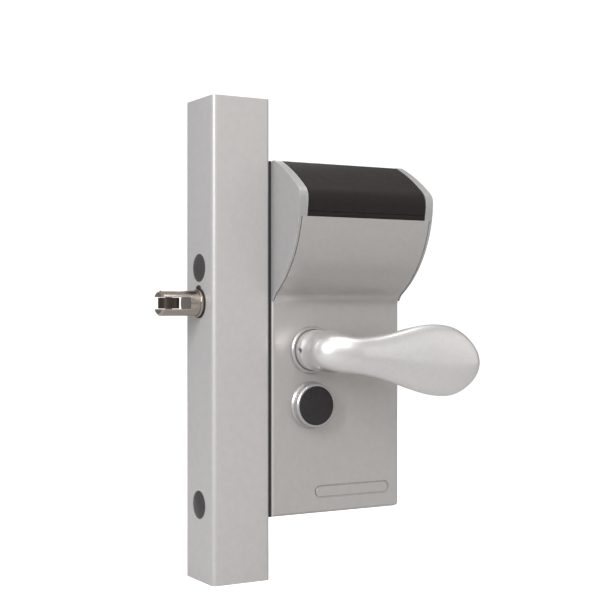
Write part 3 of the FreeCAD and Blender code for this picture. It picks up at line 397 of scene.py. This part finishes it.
# The strong, wide edge mask lightens the cheek's rim: a painted highlight along the rim, on top of
# rubbed-edge wear.
CHEEK_COAT = Finish(
    "cheek_coat", (0.452, 0.450, 0.444), (0.414, 0.412, 0.407), grey(0.75),
    metallic=0.40, roughness=0.38, grain_scale=1500.0, grain_height=0.00003, wear_and_highlight=0.8,
    wear_and_highlight_radius=0.001)
LID_BLACK = Finish(
    "lid_black", (0.019, 0.0150, 0.0140), (0.0135, 0.0108, 0.0102), (0.08, 0.075, 0.07),
    roughness=0.45, specular=0.2, grain_scale=1200.0, grain_height=0.00001, wear_and_highlight=0.25)
HANDLE_SATIN = Finish(
    "handle_satin", grey(0.80, 0.012), grey(0.73, 0.012), grey(0.9),
    metallic=0.80, roughness=0.34, grain_scale=2200.0, grain_height=0.000025, wear_and_highlight=0.2)
COLLAR_SATIN = Finish(
    "collar_satin", grey(0.49, 0.02), grey(0.43, 0.02), grey(0.8),
    metallic=0.65, roughness=0.34, grain_scale=2000.0, grain_height=0.00002, wear_and_highlight=0.4)
CAP_BLACK = Finish(
    "cap_black", (0.036, 0.033, 0.035), (0.026, 0.024, 0.025), (0.09, 0.09, 0.092),
    roughness=0.6, specular=0.2, grain_scale=900.0, grain_height=0.00008, wear_and_highlight=0.3)
PLUG_GREY = Finish(
    "plug_grey", (0.046, 0.0425, 0.0435), (0.036, 0.034, 0.035), (0.14, 0.14, 0.14),
    roughness=0.42, grain_scale=1100.0, grain_height=0.00002, wear_and_highlight=0.3)
# Near-black strip: the gasket also stands in for the shadow in the gap between the tube and the
# hood, a painted shadow.
GASKET_SHADOW_BLACK = Finish(
    "gasket_shadow_black", (0.020, 0.020, 0.020), (0.028, 0.028, 0.028), (0.04, 0.04, 0.04),
    roughness=0.75, grain_scale=700.0, grain_height=0.00005, wear_and_highlight=0.2)
LATCH_POLISH = Finish(
    "latch_polish", (0.50, 0.45, 0.40), (0.44, 0.395, 0.35), (0.85, 0.83, 0.80),
    metallic=1.0, roughness=0.20, rough_spread=0.06, grain=Grain.ALONG_X, grain_scale=2500.0,
    grain_height=0.00001, wear_and_highlight=0.5)
# Dark brown: painted shade of the latch's slot laid on the steel roller, not the steel's own colour.
ROLLER_SHADED_STEEL = Finish(
    "roller_shaded_steel", (0.085, 0.066, 0.056), (0.062, 0.049, 0.042), (0.25, 0.22, 0.19),
    metallic=0.9, roughness=0.32, grain_scale=1800.0, grain_height=0.00002, wear_and_highlight=0.5)
ZINC_STEEL = Finish(
    "zinc_steel", grey(0.52, -0.01), grey(0.42, -0.01), grey(0.7),
    metallic=0.95, roughness=0.38, grain_scale=700.0, grain_height=0.00002, wear_and_highlight=0.4)
BUTTON_STEEL = Finish(
    "button_steel", grey(0.62), grey(0.55), grey(0.8),
    metallic=0.95, roughness=0.28, grain=Grain.ALONG_X, grain_scale=2600.0, grain_height=0.00001,
    wear_and_highlight=0.5)
PLATE_BLACK = Finish(
    "plate_black", (0.040, 0.040, 0.043), (0.030, 0.030, 0.033), (0.12, 0.12, 0.12),
    roughness=0.5, grain_scale=1300.0, grain_height=0.00003, wear_and_highlight=0.3)
LEGEND_INK = Finish(
    "legend_ink", (0.015, 0.015, 0.016), (0.022, 0.022, 0.023), (0.05, 0.05, 0.05),
    roughness=0.6, grain_scale=1500.0, wear_and_highlight=0.1)
TURNED_BRASS = Finish(
    "turned_brass", (0.58, 0.42, 0.18), (0.50, 0.36, 0.15), (0.75, 0.6, 0.3),
    metallic=0.95, roughness=0.3, grain_scale=1500.0, wear_and_highlight=0.4)

NODE_FINISHES: dict[Finish, list[str]] = {
    PROFILE_COAT: ["gate_profile"],
    COVER_COAT: ["front_cover", "rear_cover", "badge_plate", "lock_case"],
    CHEEK_COAT: ["keypad_housing"],
    LID_BLACK: ["keypad_flap"],
    HANDLE_SATIN: ["front_handle", "rear_handle"],
    COLLAR_SATIN: ["front_rosette", "rear_rosette", "front_cylinder_collar",
                   "rear_cylinder_collar"],
    CAP_BLACK: ["front_cylinder_cap", "rear_cylinder_cap", "latch_bush"],
    PLUG_GREY: ["hole_plugs"],
    GASKET_SHADOW_BLACK: ["mounting_gasket"],
    LATCH_POLISH: ["latch_bolt", "latch_guide_ring", "latch_roller_pin"],
    ROLLER_SHADED_STEEL: ["latch_roller"],
    ZINC_STEEL: ["latch_rod", "latch_lock_nut", "latch_slider", "latch_spring", "spring_stop",
                 "chassis_spacers", "front_chassis_plate", "rear_chassis_plate", "handle_hub",
                 "handle_return_spring", "fixing_bolts", "cover_screws", "flap_hinge_pin", "spindle",
                 "grub_screws", "code_slide", "button_springs"],
    PLATE_BLACK: ["keypad_plate", "code_chamber"],
    TURNED_BRASS: ["override_barrel", "override_cam", "rod_bush", "hub_bushes"],
    BUTTON_STEEL: [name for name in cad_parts
                   if name.startswith("button_") and name != "button_springs"],
}


# --- mesh helpers ---------------------------------------------------------------------------------

def link_object(name: str, mesh: bpy.types.Mesh) -> bpy.types.Object:
    """Make an object at the origin for a mesh.

    Args:
        name: The piece's name.
        mesh: Its mesh, with its place in its vertices.

    Returns:
        The new object.
    """
    made = bpy.data.objects.new(name, mesh)
    bpy.context.collection.objects.link(made)
    return made


def applied(piece: bpy.types.Object) -> bpy.types.Object:
    """Turn a piece's modifiers into its mesh.

    Args:
        piece: The object with modifiers.

    Returns:
        The same object, with none left.
    """
    graph = bpy.context.evaluated_depsgraph_get()
    mesh = bpy.data.meshes.new_from_object(piece.evaluated_get(graph))
    piece.modifiers.clear()
    piece.data = mesh
    return piece


def place_piece(piece: bpy.types.Object, body: str, slot: str, finish: Finish, *nodes: str) -> None:
    """Give a piece its finish and body, and hide the CAD nodes that it stands for.

    Args:
        piece: The piece.
        body: The CAD body it rides on.
        slot: The record's material slot; not used.
        finish: Its finish.
        nodes: CAD nodes that it replaces.
    """
    piece.data.materials.clear()
    piece.data.materials.append(finish.material())
    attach(piece, body)
    if nodes:
        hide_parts(*nodes)
    LOG.info("%s rides on %s", piece.name, body)


@dataclass
class RoundedCopy:
    """A CAD node's own shape with its sharp edges rounded, as casting and coating leave them."""

    node: str
    body: str
    slot: str
    finish: Finish
    radius: float = 0.4 * MM
    segments: int = 3
    sharp_angle: float = 28.0
    flat_angle: float = 0.4

    def build(self) -> bpy.types.Object:
        """Copy, merge and round the node.

        Returns:
            The finished piece, riding in place of the node.
        """
        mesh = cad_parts[self.node].data.copy()
        shape = bmesh.new()
        shape.from_mesh(mesh)
        bmesh.ops.remove_doubles(shape, verts=shape.verts, dist=MERGE_DISTANCE)
        bmesh.ops.dissolve_limit(shape, angle_limit=math.radians(self.flat_angle),
                                 verts=shape.verts, edges=shape.edges)
        for face in shape.faces:
            face.smooth = True
        shape.to_mesh(mesh)
        shape.free()
        if "custom_normal" in mesh.attributes:
            mesh.attributes.remove(mesh.attributes["custom_normal"])
        piece = link_object(self.node + "_skin", mesh)
        bevel = piece.modifiers.new("edges", "BEVEL")
        bevel.width = self.radius
        bevel.segments = self.segments
        bevel.limit_method = "ANGLE"
        bevel.angle_limit = math.radians(self.sharp_angle)
        bevel.harden_normals = True
        bevel.miter_outer = "MITER_ARC"
        applied(piece)
        place_piece(piece, self.body, self.slot, self.finish, self.node)
        return piece


# --- node trees that repeat a shape ---------------------------------------------------------------

class RepeatTree(TreeBuilder):
    """A geometry node tree that stands copies of one shape on a grid and turns them into a mesh."""

    def __init__(self, name: str, inputs: dict[str, tuple[str, object]]) -> None:
        """Make the tree with its inputs.

        Args:
            name: The tree's name.
            inputs: Each input's socket type and default, by name.
        """
        super().__init__(name, "GeometryNodeTree")
        self.socket("Geometry", "INPUT", "NodeSocketGeometry")
        for key, (kind, value) in inputs.items():
            self.socket(key, "INPUT", kind, value)
        self.socket("Geometry", "OUTPUT", "NodeSocketGeometry")

    def on_grid(self, shape: bpy.types.NodeSocket) -> None:
        """Stand a shape on the grid, move the whole to its place and close the tree.

        Args:
            shape: The output that gives the shape.
        """
        grid = self.node("GeometryNodeMeshGrid")
        for name, end in (("Span X", "Size X"), ("Span Y", "Size Y"), ("Columns", "Vertices X"),
                          ("Rows", "Vertices Y")):
            self.link(self.source.outputs[name], grid.inputs[end])
        stand = self.node("GeometryNodeInstanceOnPoints")
        self.link(grid.outputs["Mesh"], stand.inputs["Points"])
        self.link(shape, stand.inputs["Instance"])
        solid = self.node("GeometryNodeRealizeInstances")
        self.link(stand.outputs["Instances"], solid.inputs["Geometry"])
        move = self.node("GeometryNodeTransform")
        self.link(solid.outputs["Geometry"], move.inputs["Geometry"])
        self.link(self.source.outputs["Place"], move.inputs["Translation"])
        self.link(self.source.outputs["Turn"], move.inputs["Rotation"])
        coat = self.node("GeometryNodeSetMaterial")
        self.link(move.outputs["Geometry"], coat.inputs["Geometry"])
        self.link(self.source.outputs["Material"], coat.inputs["Material"])
        self.link(coat.outputs["Geometry"], self.sink.inputs["Geometry"])

    def piece(self, name: str, values: dict[str, object]) -> bpy.types.Object:
        """Run the tree with the given values and keep its mesh.

        Args:
            name: The piece's name.
            values: Input values by name.

        Returns:
            The piece, with a plain mesh.
        """
        made = link_object(name, bpy.data.meshes.new(name))
        repeat = made.modifiers.new("repeat", "NODES")
        repeat.node_group = self.tree
        for item in self.tree.interface.items_tree:
            if item.in_out == "INPUT" and item.name in values:
                repeat[item.identifier] = values[item.name]
        return applied(made)


GRID_INPUTS: dict[str, tuple[str, object]] = {
    "Span X": ("NodeSocketFloat", 0.05), "Span Y": ("NodeSocketFloat", 0.05),
    "Columns": ("NodeSocketInt", 2), "Rows": ("NodeSocketInt", 2),
    "Place": ("NodeSocketVector", (0.0, 0.0, 0.0)), "Turn": ("NodeSocketRotation", None),
    "Material": ("NodeSocketMaterial", None)}


def screw_tree() -> RepeatTree:
    """Countersunk screw heads with hexagon sockets, on a grid.

    Returns:
        The tree.
    """
    tree = RepeatTree("screw_heads", {
        **GRID_INPUTS,
        "Head Radius": ("NodeSocketFloat", 4.0 * MM),
        "Socket Radius": ("NodeSocketFloat", 1.5 * MM),
        "Depth": ("NodeSocketFloat", 2.5 * MM)})
    head = tree.node("GeometryNodeMeshCone")
    head.inputs["Vertices"].default_value = ROUND_SIDES
    head.inputs["Radius Top"].default_value = SCREW_FOOT_RADIUS
    tree.link(tree.source.outputs["Head Radius"], head.inputs["Radius Bottom"])
    tree.link(tree.source.outputs["Depth"], head.inputs["Depth"])
    socket = tree.node("GeometryNodeMeshCylinder")
    socket.inputs["Vertices"].default_value = HEXAGON
    tree.link(tree.source.outputs["Socket Radius"], socket.inputs["Radius"])
    tree.link(tree.source.outputs["Depth"], socket.inputs["Depth"])
    cut = tree.node("GeometryNodeMeshBoolean", operation="DIFFERENCE", solver="EXACT")
    tree.link(head.outputs["Mesh"], cut.inputs["Mesh 1"])
    tree.link(socket.outputs["Mesh"], cut.inputs["Mesh 2"])
    tree.on_grid(cut.outputs["Mesh"])
    return tree


def bezel_tree() -> RepeatTree:
    """Rings round the buttons, on a grid.

    Returns:
        The tree.
    """
    tree = RepeatTree("button_bezels", {
        **GRID_INPUTS,
        "Ring Radius": ("NodeSocketFloat", 5.0 * MM),
        "Wire Radius": ("NodeSocketFloat", 0.3 * MM)})
    ring = tree.node("GeometryNodeCurvePrimitiveCircle")
    ring.inputs["Resolution"].default_value = ROUND_SIDES
    tree.link(tree.source.outputs["Ring Radius"], ring.inputs["Radius"])
    wire = tree.node("GeometryNodeCurvePrimitiveCircle")
    wire.inputs["Resolution"].default_value = WIRE_SIDES
    tree.link(tree.source.outputs["Wire Radius"], wire.inputs["Radius"])
    swept = tree.node("GeometryNodeCurveToMesh")
    tree.link(ring.outputs["Curve"], swept.inputs["Curve"])
    tree.link(wire.outputs["Curve"], swept.inputs["Profile Curve"])
    tree.on_grid(swept.outputs["Mesh"])
    return tree


# --- sub-assemblies -------------------------------------------------------------------------------

@dataclass
class Keypad:
    """Buttons' legends and the rings round the buttons, on the tilted keypad plate."""

    tilt: float = math.radians(51.0)
    low_reach: float = 50.5 * MM
    low_rise: float = 225.0 * MM
    length: float = 34.0 * MM
    columns: int = 7
    rows: int = 2
    pitch: float = 11.6 * MM
    row_pitch: float = 13.5 * MM
    middle: float = 69.6 * MM
    proud: float = 3.0 * MM
    legend_height: float = 5.2 * MM
    legend_depth: float = 0.12 * MM
    ring_radius: float = 5.0 * MM
    ring_wire: float = 0.3 * MM
    ring_rise: float = 0.05 * MM
    legends: tuple[str, ...] = ("1", "2", "3", "4", "5", "x", "z",
                                "6", "7", "8", "9", "0", "y", "clear")
    shown: dict[str, str] = field(
        default_factory=lambda: {"x": "X", "y": "Y", "z": "Z", "clear": "C"})

    def matrix(self) -> Matrix:
        """The plate's own axes in the part's frame."""
        place = Matrix.Translation((0.0, -self.low_reach, self.low_rise))
        return place @ Matrix.Rotation(self.tilt, 4, "X")

    def build(self) -> None:
        """Make the rings and the legends."""
        self._bezels()
        for index, name in enumerate(self.legends):
            self._legend(name, index)

    def spot(self, index: int) -> tuple[float, float]:
        """A button's place along and up the plate.

        Args:
            index: Its number on the plate.

        Returns:
            How far along, from the part's origin, and how far up, from the plate's lower edge.
        """
        row, column = divmod(index, self.columns)
        return (self.middle + (column - (self.columns - 1) / 2) * self.pitch,
                self.length / 2 + ((self.rows - 1) / 2 - row) * self.row_pitch)

    def place(self, index: int) -> Vector:
        """A button's place on the plate's face.

        Args:
            index: Its number on the plate.

        Returns:
            The place in the part's frame.
        """
        return self.matrix() @ Vector((*self.spot(index), 0.0))

    def _bezels(self) -> None:
        """Rings round the buttons, as one piece on the plate."""
        centre = self.matrix() @ Vector((self.middle, self.length / 2, self.ring_rise))
        rings = bezel_tree().piece("button_bezels", {
            "Span X": self.pitch * (self.columns - 1),
            "Span Y": self.row_pitch * (self.rows - 1),
            "Columns": self.columns,
            "Rows": self.rows,
            "Place": tuple(centre),
            "Turn": Euler((self.tilt, 0.0, 0.0)),
            "Ring Radius": self.ring_radius,
            "Wire Radius": self.ring_wire,
            "Material": ZINC_STEEL.material()})
        place_piece(rings, "lock", "steel", ZINC_STEEL)

    def _legend(self, name: str, index: int) -> None:
        """The mark on one button.

        Args:
            name: The button's name.
            index: Its number on the plate.
        """
        text = bpy.data.curves.new("legend", "FONT")
        text.body = self.shown.get(name, name)
        text.size = self.legend_height
        text.align_x = "CENTER"
        text.align_y = "CENTER"
        text.extrude = self.legend_depth / 2
        source = bpy.data.objects.new("legend_source", text)
        bpy.context.collection.objects.link(source)
        graph = bpy.context.evaluated_depsgraph_get()
        mesh = bpy.data.meshes.new_from_object(source.evaluated_get(graph))
        bpy.data.objects.remove(source)
        lift = self.proud + self.legend_depth / 2
        mesh.transform(self.matrix() @ Matrix.Translation((*self.spot(index), lift)))
        mark = link_object("legend_" + name, mesh)
        place_piece(mark, "key_" + name, "keypad_black", LEGEND_INK)


def loose_parts(node: str) -> list[bpy.types.Mesh]:
    """Copy each separate part of a CAD node into a mesh of its own.

    Args:
        node: The CAD node.

    Returns:
        One mesh for each part.
    """
    whole = bmesh.new()
    whole.from_mesh(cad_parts[node].data)
    bmesh.ops.remove_doubles(whole, verts=list(whole.verts), dist=SPRING_MERGE_DISTANCE)
    waiting = set(whole.verts)
    parts = []
    while waiting:
        edge = [waiting.pop()]
        members = list(edge)
        while edge:
            for line in edge.pop().link_edges:
                for vertex in line.verts:
                    if vertex in waiting:
                        waiting.remove(vertex)
                        edge.append(vertex)
                        members.append(vertex)
        order = {vertex: index for index, vertex in enumerate(members)}
        faces = [[order[vertex] for vertex in face.verts]
                 for face in whole.faces if face.verts[0] in order]
        mesh = bpy.data.meshes.new(node)
        mesh.from_pydata([vertex.co for vertex in members], [], faces)
        mesh.shade_smooth()
        parts.append(mesh)
    whole.free()
    return parts


@dataclass
class Springs:
    """The compression springs, copied from the CAD coils."""

    keypad: Keypad
    latch_travel: float = 19.2 * MM
    press_travel: float = 2.2 * MM

    def build(self) -> None:
        """Make the latch's spring and one spring under each button."""
        latch = loose_parts("latch_spring")
        self._spring("latch_coil", latch[0], "latch_slide", Vector((1.0, 0.0, 0.0)),
                     self.latch_travel, "latch_spring")
        inward = self.keypad.matrix().to_3x3() @ Vector((0.0, 0.0, -1.0))
        coils = loose_parts("button_springs")
        for index, name in enumerate(self.keypad.legends):
            seat = self.keypad.place(index)
            coil = min(coils, key=lambda mesh: (self._middle(mesh) - seat).length)
            nodes = ("button_springs",) if index == 0 else ()
            self._spring("button_coil_" + name, coil, "press_" + name, inward,
                         self.press_travel, *nodes)

    @staticmethod
    def _middle(mesh: bpy.types.Mesh) -> Vector:
        """The mean of a mesh's points."""
        return sum((vertex.co for vertex in mesh.vertices), Vector()) / len(mesh.vertices)

    @staticmethod
    def _spring(name: str, mesh: bpy.types.Mesh, joint: str, axis: Vector, travel: float,
                *nodes: str) -> None:
        """Add a spring in its place at rest.

        Args:
            name: The piece's name.
            mesh: Its mesh at rest.
            joint: The joint meant to shorten it; not used.
            axis: The way in which the joint's part pushes it; not used.
            travel: How far the joint moves; not used.
            nodes: CAD nodes that it replaces.
        """
        coil = link_object(name, mesh)
        place_piece(coil, "lock", "steel", ZINC_STEEL, *nodes)
        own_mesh(coil)


@dataclass
class RearScrews:
    """Heads of the four screws that hold the rear cover."""

    left: float = 29.7 * MM
    right: float = 110.5 * MM
    low: float = 60.4 * MM
    high: float = 257.2 * MM
    face: float = 20.0 * MM
    sunk: float = 0.02 * MM
    head_radius: float = 3.9 * MM
    socket_radius: float = 1.45 * MM
    depth: float = 2.4 * MM

    def build(self) -> None:
        """Make the heads as one piece, in place of the plain ones."""
        centre = ((self.left + self.right) / 2, self.face - self.sunk, (self.low + self.high) / 2)
        heads = screw_tree().piece("screw_heads", {
            "Span X": self.right - self.left,
            "Span Y": self.high - self.low,
            "Columns": 2,
            "Rows": 2,
            "Place": centre,
            "Turn": Euler((math.radians(90.0), 0.0, 0.0)),
            "Head Radius": self.head_radius,
            "Socket Radius": self.socket_radius,
            "Depth": self.depth,
            "Material": ZINC_STEEL.material()})
        place_piece(heads, "lock", "steel", ZINC_STEEL, "cover_screws")


@dataclass
class Shells:
    """The coated and moulded outer pieces, with their edges rounded."""

    def build(self) -> None:
        """Make every rounded piece."""
        pieces = [
            RoundedCopy("gate_profile", "lock", "profile_coat", PROFILE_COAT, 0.35 * MM),
            RoundedCopy("lock_case", "lock", "cover_coat", COVER_COAT, 0.3 * MM),
            RoundedCopy("front_cover", "lock", "cover_coat", COVER_COAT, 0.3 * MM),
            RoundedCopy("rear_cover", "lock", "cover_coat", COVER_COAT, 0.3 * MM),
            RoundedCopy("keypad_housing", "lock", "cheek_coat", CHEEK_COAT, 0.7 * MM, 4),
            RoundedCopy("keypad_flap", "flap", "flap_black", LID_BLACK, 0.35 * MM),
            RoundedCopy("badge_plate", "lock", "cover_coat", COVER_COAT, 0.25 * MM),
            RoundedCopy("keypad_plate", "lock", "keypad_black", PLATE_BLACK, 0.3 * MM),
            RoundedCopy("mounting_gasket", "lock", "gasket_black", GASKET_SHADOW_BLACK, 0.3 * MM),
            RoundedCopy("latch_bolt", "latch", "latch_steel", LATCH_POLISH, 0.3 * MM),
            RoundedCopy("latch_roller", "roller", "steel", ROLLER_SHADED_STEEL, 0.4 * MM),
            RoundedCopy("latch_guide_ring", "lock", "latch_steel", LATCH_POLISH, 0.3 * MM),
            RoundedCopy("latch_bush", "lock", "cap_black", CAP_BLACK, 0.2 * MM),
        ]
        for piece in pieces:
            piece.build()


def dress_nodes() -> None:
    """Give every CAD node its finish."""
    for finish, nodes in NODE_FINISHES.items():
        material = finish.material()
        for node in nodes:
            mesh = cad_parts[node].data
            for index in range(len(mesh.materials)):
                mesh.materials[index] = material
            if not mesh.materials:
                mesh.materials.append(material)


# --- stage ----------------------------------------------------------------------------------------

@dataclass
class Studio:
    """Pale sweep, soft lamps and the camera."""

    camera_place: Point = (-0.3645, -0.7236, 0.1717)
    heading: float = math.radians(-30.0)
    lens: float = 76.2
    rise: float = 0.0133
    sensor: float = 36.0
    nearest: float = 0.01
    middle: Point = (0.03, 0.0, 0.16)
    sky_strength: float = 0.53
    sky_seen: float = 1.0
    paper_glow: float = 0.82
    sweep_near: float = -3.0
    sweep_far: float = 3.0
    sweep_half: float = 6.0
    sweep_height: float = 4.0
    sweep_radius: float = 1.2
    sweep_steps: int = 24

    def build(self) -> None:
        """Make the sweep, the lamps, the sky and the camera."""
        self._sweep()
        self._lamps()
        self._sky()
        self._camera()

    def _sweep(self) -> None:
        """A pale floor that curves up into a wall."""
        outline = [(self.sweep_near, 0.0), (self.sweep_far - self.sweep_radius, 0.0)]
        for step in range(1, self.sweep_steps + 1):
            angle = math.pi / 2 * step / self.sweep_steps
            outline.append((self.sweep_far - self.sweep_radius * (1 - math.sin(angle)),
                            self.sweep_radius * (1 - math.cos(angle))))
        outline.append((self.sweep_far, self.sweep_height))
        vertices = [(side * self.sweep_half, y, z) for y, z in outline for side in (-1, 1)]
        faces = [(2 * i, 2 * i + 1, 2 * i + 3, 2 * i + 2) for i in range(len(outline) - 1)]
        mesh = bpy.data.meshes.new("sweep")
        mesh.from_pydata(vertices, [], faces)
        mesh.transform(Matrix.Rotation(self.heading, 4, "Z"))
        mesh.shade_smooth()
        sweep = link_object("sweep", mesh)
        paper = bpy.data.materials.new("sweep_paper")
        paper.use_nodes = True
        shader = paper.node_tree.nodes["Principled BSDF"]
        shader.inputs["Base Color"].default_value = (0.55, 0.55, 0.55, 1.0)
        shader.inputs["Roughness"].default_value = 0.9
        shader.inputs["Specular IOR Level"].default_value = 0.1
        shader.inputs["Emission Color"].default_value = (1.0, 1.0, 1.0, 1.0)
        self._seen(paper.node_tree.nodes, paper.node_tree.links, 0.0, self.paper_glow,
                   shader.inputs["Emission Strength"])
        sweep.data.materials.append(paper)

    def _lamp(self, name: str, place: Point, aim: Point, size: tuple[float, float], power: float,
              colour: Colour) -> None:
        """Add a soft rectangular lamp.

        Args:
            name: The lamp's name.
            place: Where it hangs.
            aim: What it points at.
            size: Its width and height.
            power: Its power in watts.
            colour: Its colour.
        """
        light = bpy.data.lights.new(name, "AREA")
        light.shape = "RECTANGLE"
        light.size, light.size_y = size
        light.energy = power
        light.color = colour
        lamp = bpy.data.objects.new(name, light)
        lamp.location = place
        lamp.rotation_euler = (Vector(aim) - Vector(place)).to_track_quat("-Z", "Y").to_euler()
        bpy.context.collection.objects.link(lamp)

    def _lamps(self) -> None:
        """Light the lock from the front, left, right, back and top."""
        self._lamp("front_lamp", (-0.25, -0.78, 1.00), self.middle, (0.9, 0.6),
                   3.9, (1.0, 0.93, 0.86))
        self._lamp("left_strip", (-1.20, -0.70, 0.80), self.middle, (0.14, 0.8),
                   14.0, (0.955, 0.95, 1.0))
        self._lamp("right_fill", (1.3, -0.9, 0.35), self.middle, (1.4, 1.2),
                   2.0, (1.0, 0.97, 0.94))
        self._lamp("back_lamp", (0.35, 1.3, 0.9), self.middle, (1.0, 0.8),
                   6.0, (1.0, 0.98, 0.96))
        self._lamp("top_lamp", (0.15, -0.25, 1.3), self.middle, (0.9, 0.7),
                   4.0, (1.0, 0.98, 0.95))

    def _sky(self) -> None:
        """Even pale light all round."""
        world = bpy.data.worlds.new("studio")
        world.use_nodes = True
        nodes, links = world.node_tree.nodes, world.node_tree.links
        ground = nodes["Background"]
        ground.inputs["Color"].default_value = (1.0, 1.0, 1.0, 1.0)
        self._seen(nodes, links, self.sky_strength, self.sky_seen, ground.inputs["Strength"])
        bpy.context.scene.world = world
        bpy.context.scene.view_settings.view_transform = "Standard"

    @staticmethod
    def _seen(nodes: bpy.types.Nodes, links: bpy.types.NodeLinks, unseen: float, seen: float,
              target: bpy.types.NodeSocket) -> None:
        """Give a strength one value where it is looked at and another where it only lights.

        Args:
            nodes: The tree's nodes.
            links: The tree's links.
            unseen: The value for rays of light.
            seen: The value for rays of sight.
            target: The strength's socket.
        """
        rays = nodes.new("ShaderNodeLightPath")
        strength = nodes.new("ShaderNodeMapRange")
        strength.inputs["To Min"].default_value = unseen
        strength.inputs["To Max"].default_value = seen
        links.new(rays.outputs["Is Camera Ray"], strength.inputs["Value"])
        links.new(strength.outputs["Result"], target)

    def _camera(self) -> None:
        """A level camera that looks along the heading."""
        lens = bpy.data.cameras.new("camera")
        lens.lens = self.lens
        lens.sensor_width = self.sensor
        lens.shift_y = self.rise
        lens.clip_start = self.nearest
        camera = bpy.data.objects.new("camera", lens)
        camera.location = self.camera_place
        camera.rotation_euler = (math.radians(90.0), 0.0, self.heading)
        bpy.context.collection.objects.link(camera)
        bpy.context.scene.camera = camera


def main() -> None:
    """Build the stage and the looks in order."""
    logging.basicConfig(level=logging.INFO)
    Studio().build()
    dress_nodes()
    Shells().build()
    keypad = Keypad()
    keypad.build()
    Springs(keypad).build()
    RearScrews().build()


if __name__ == "__main__":
    main()
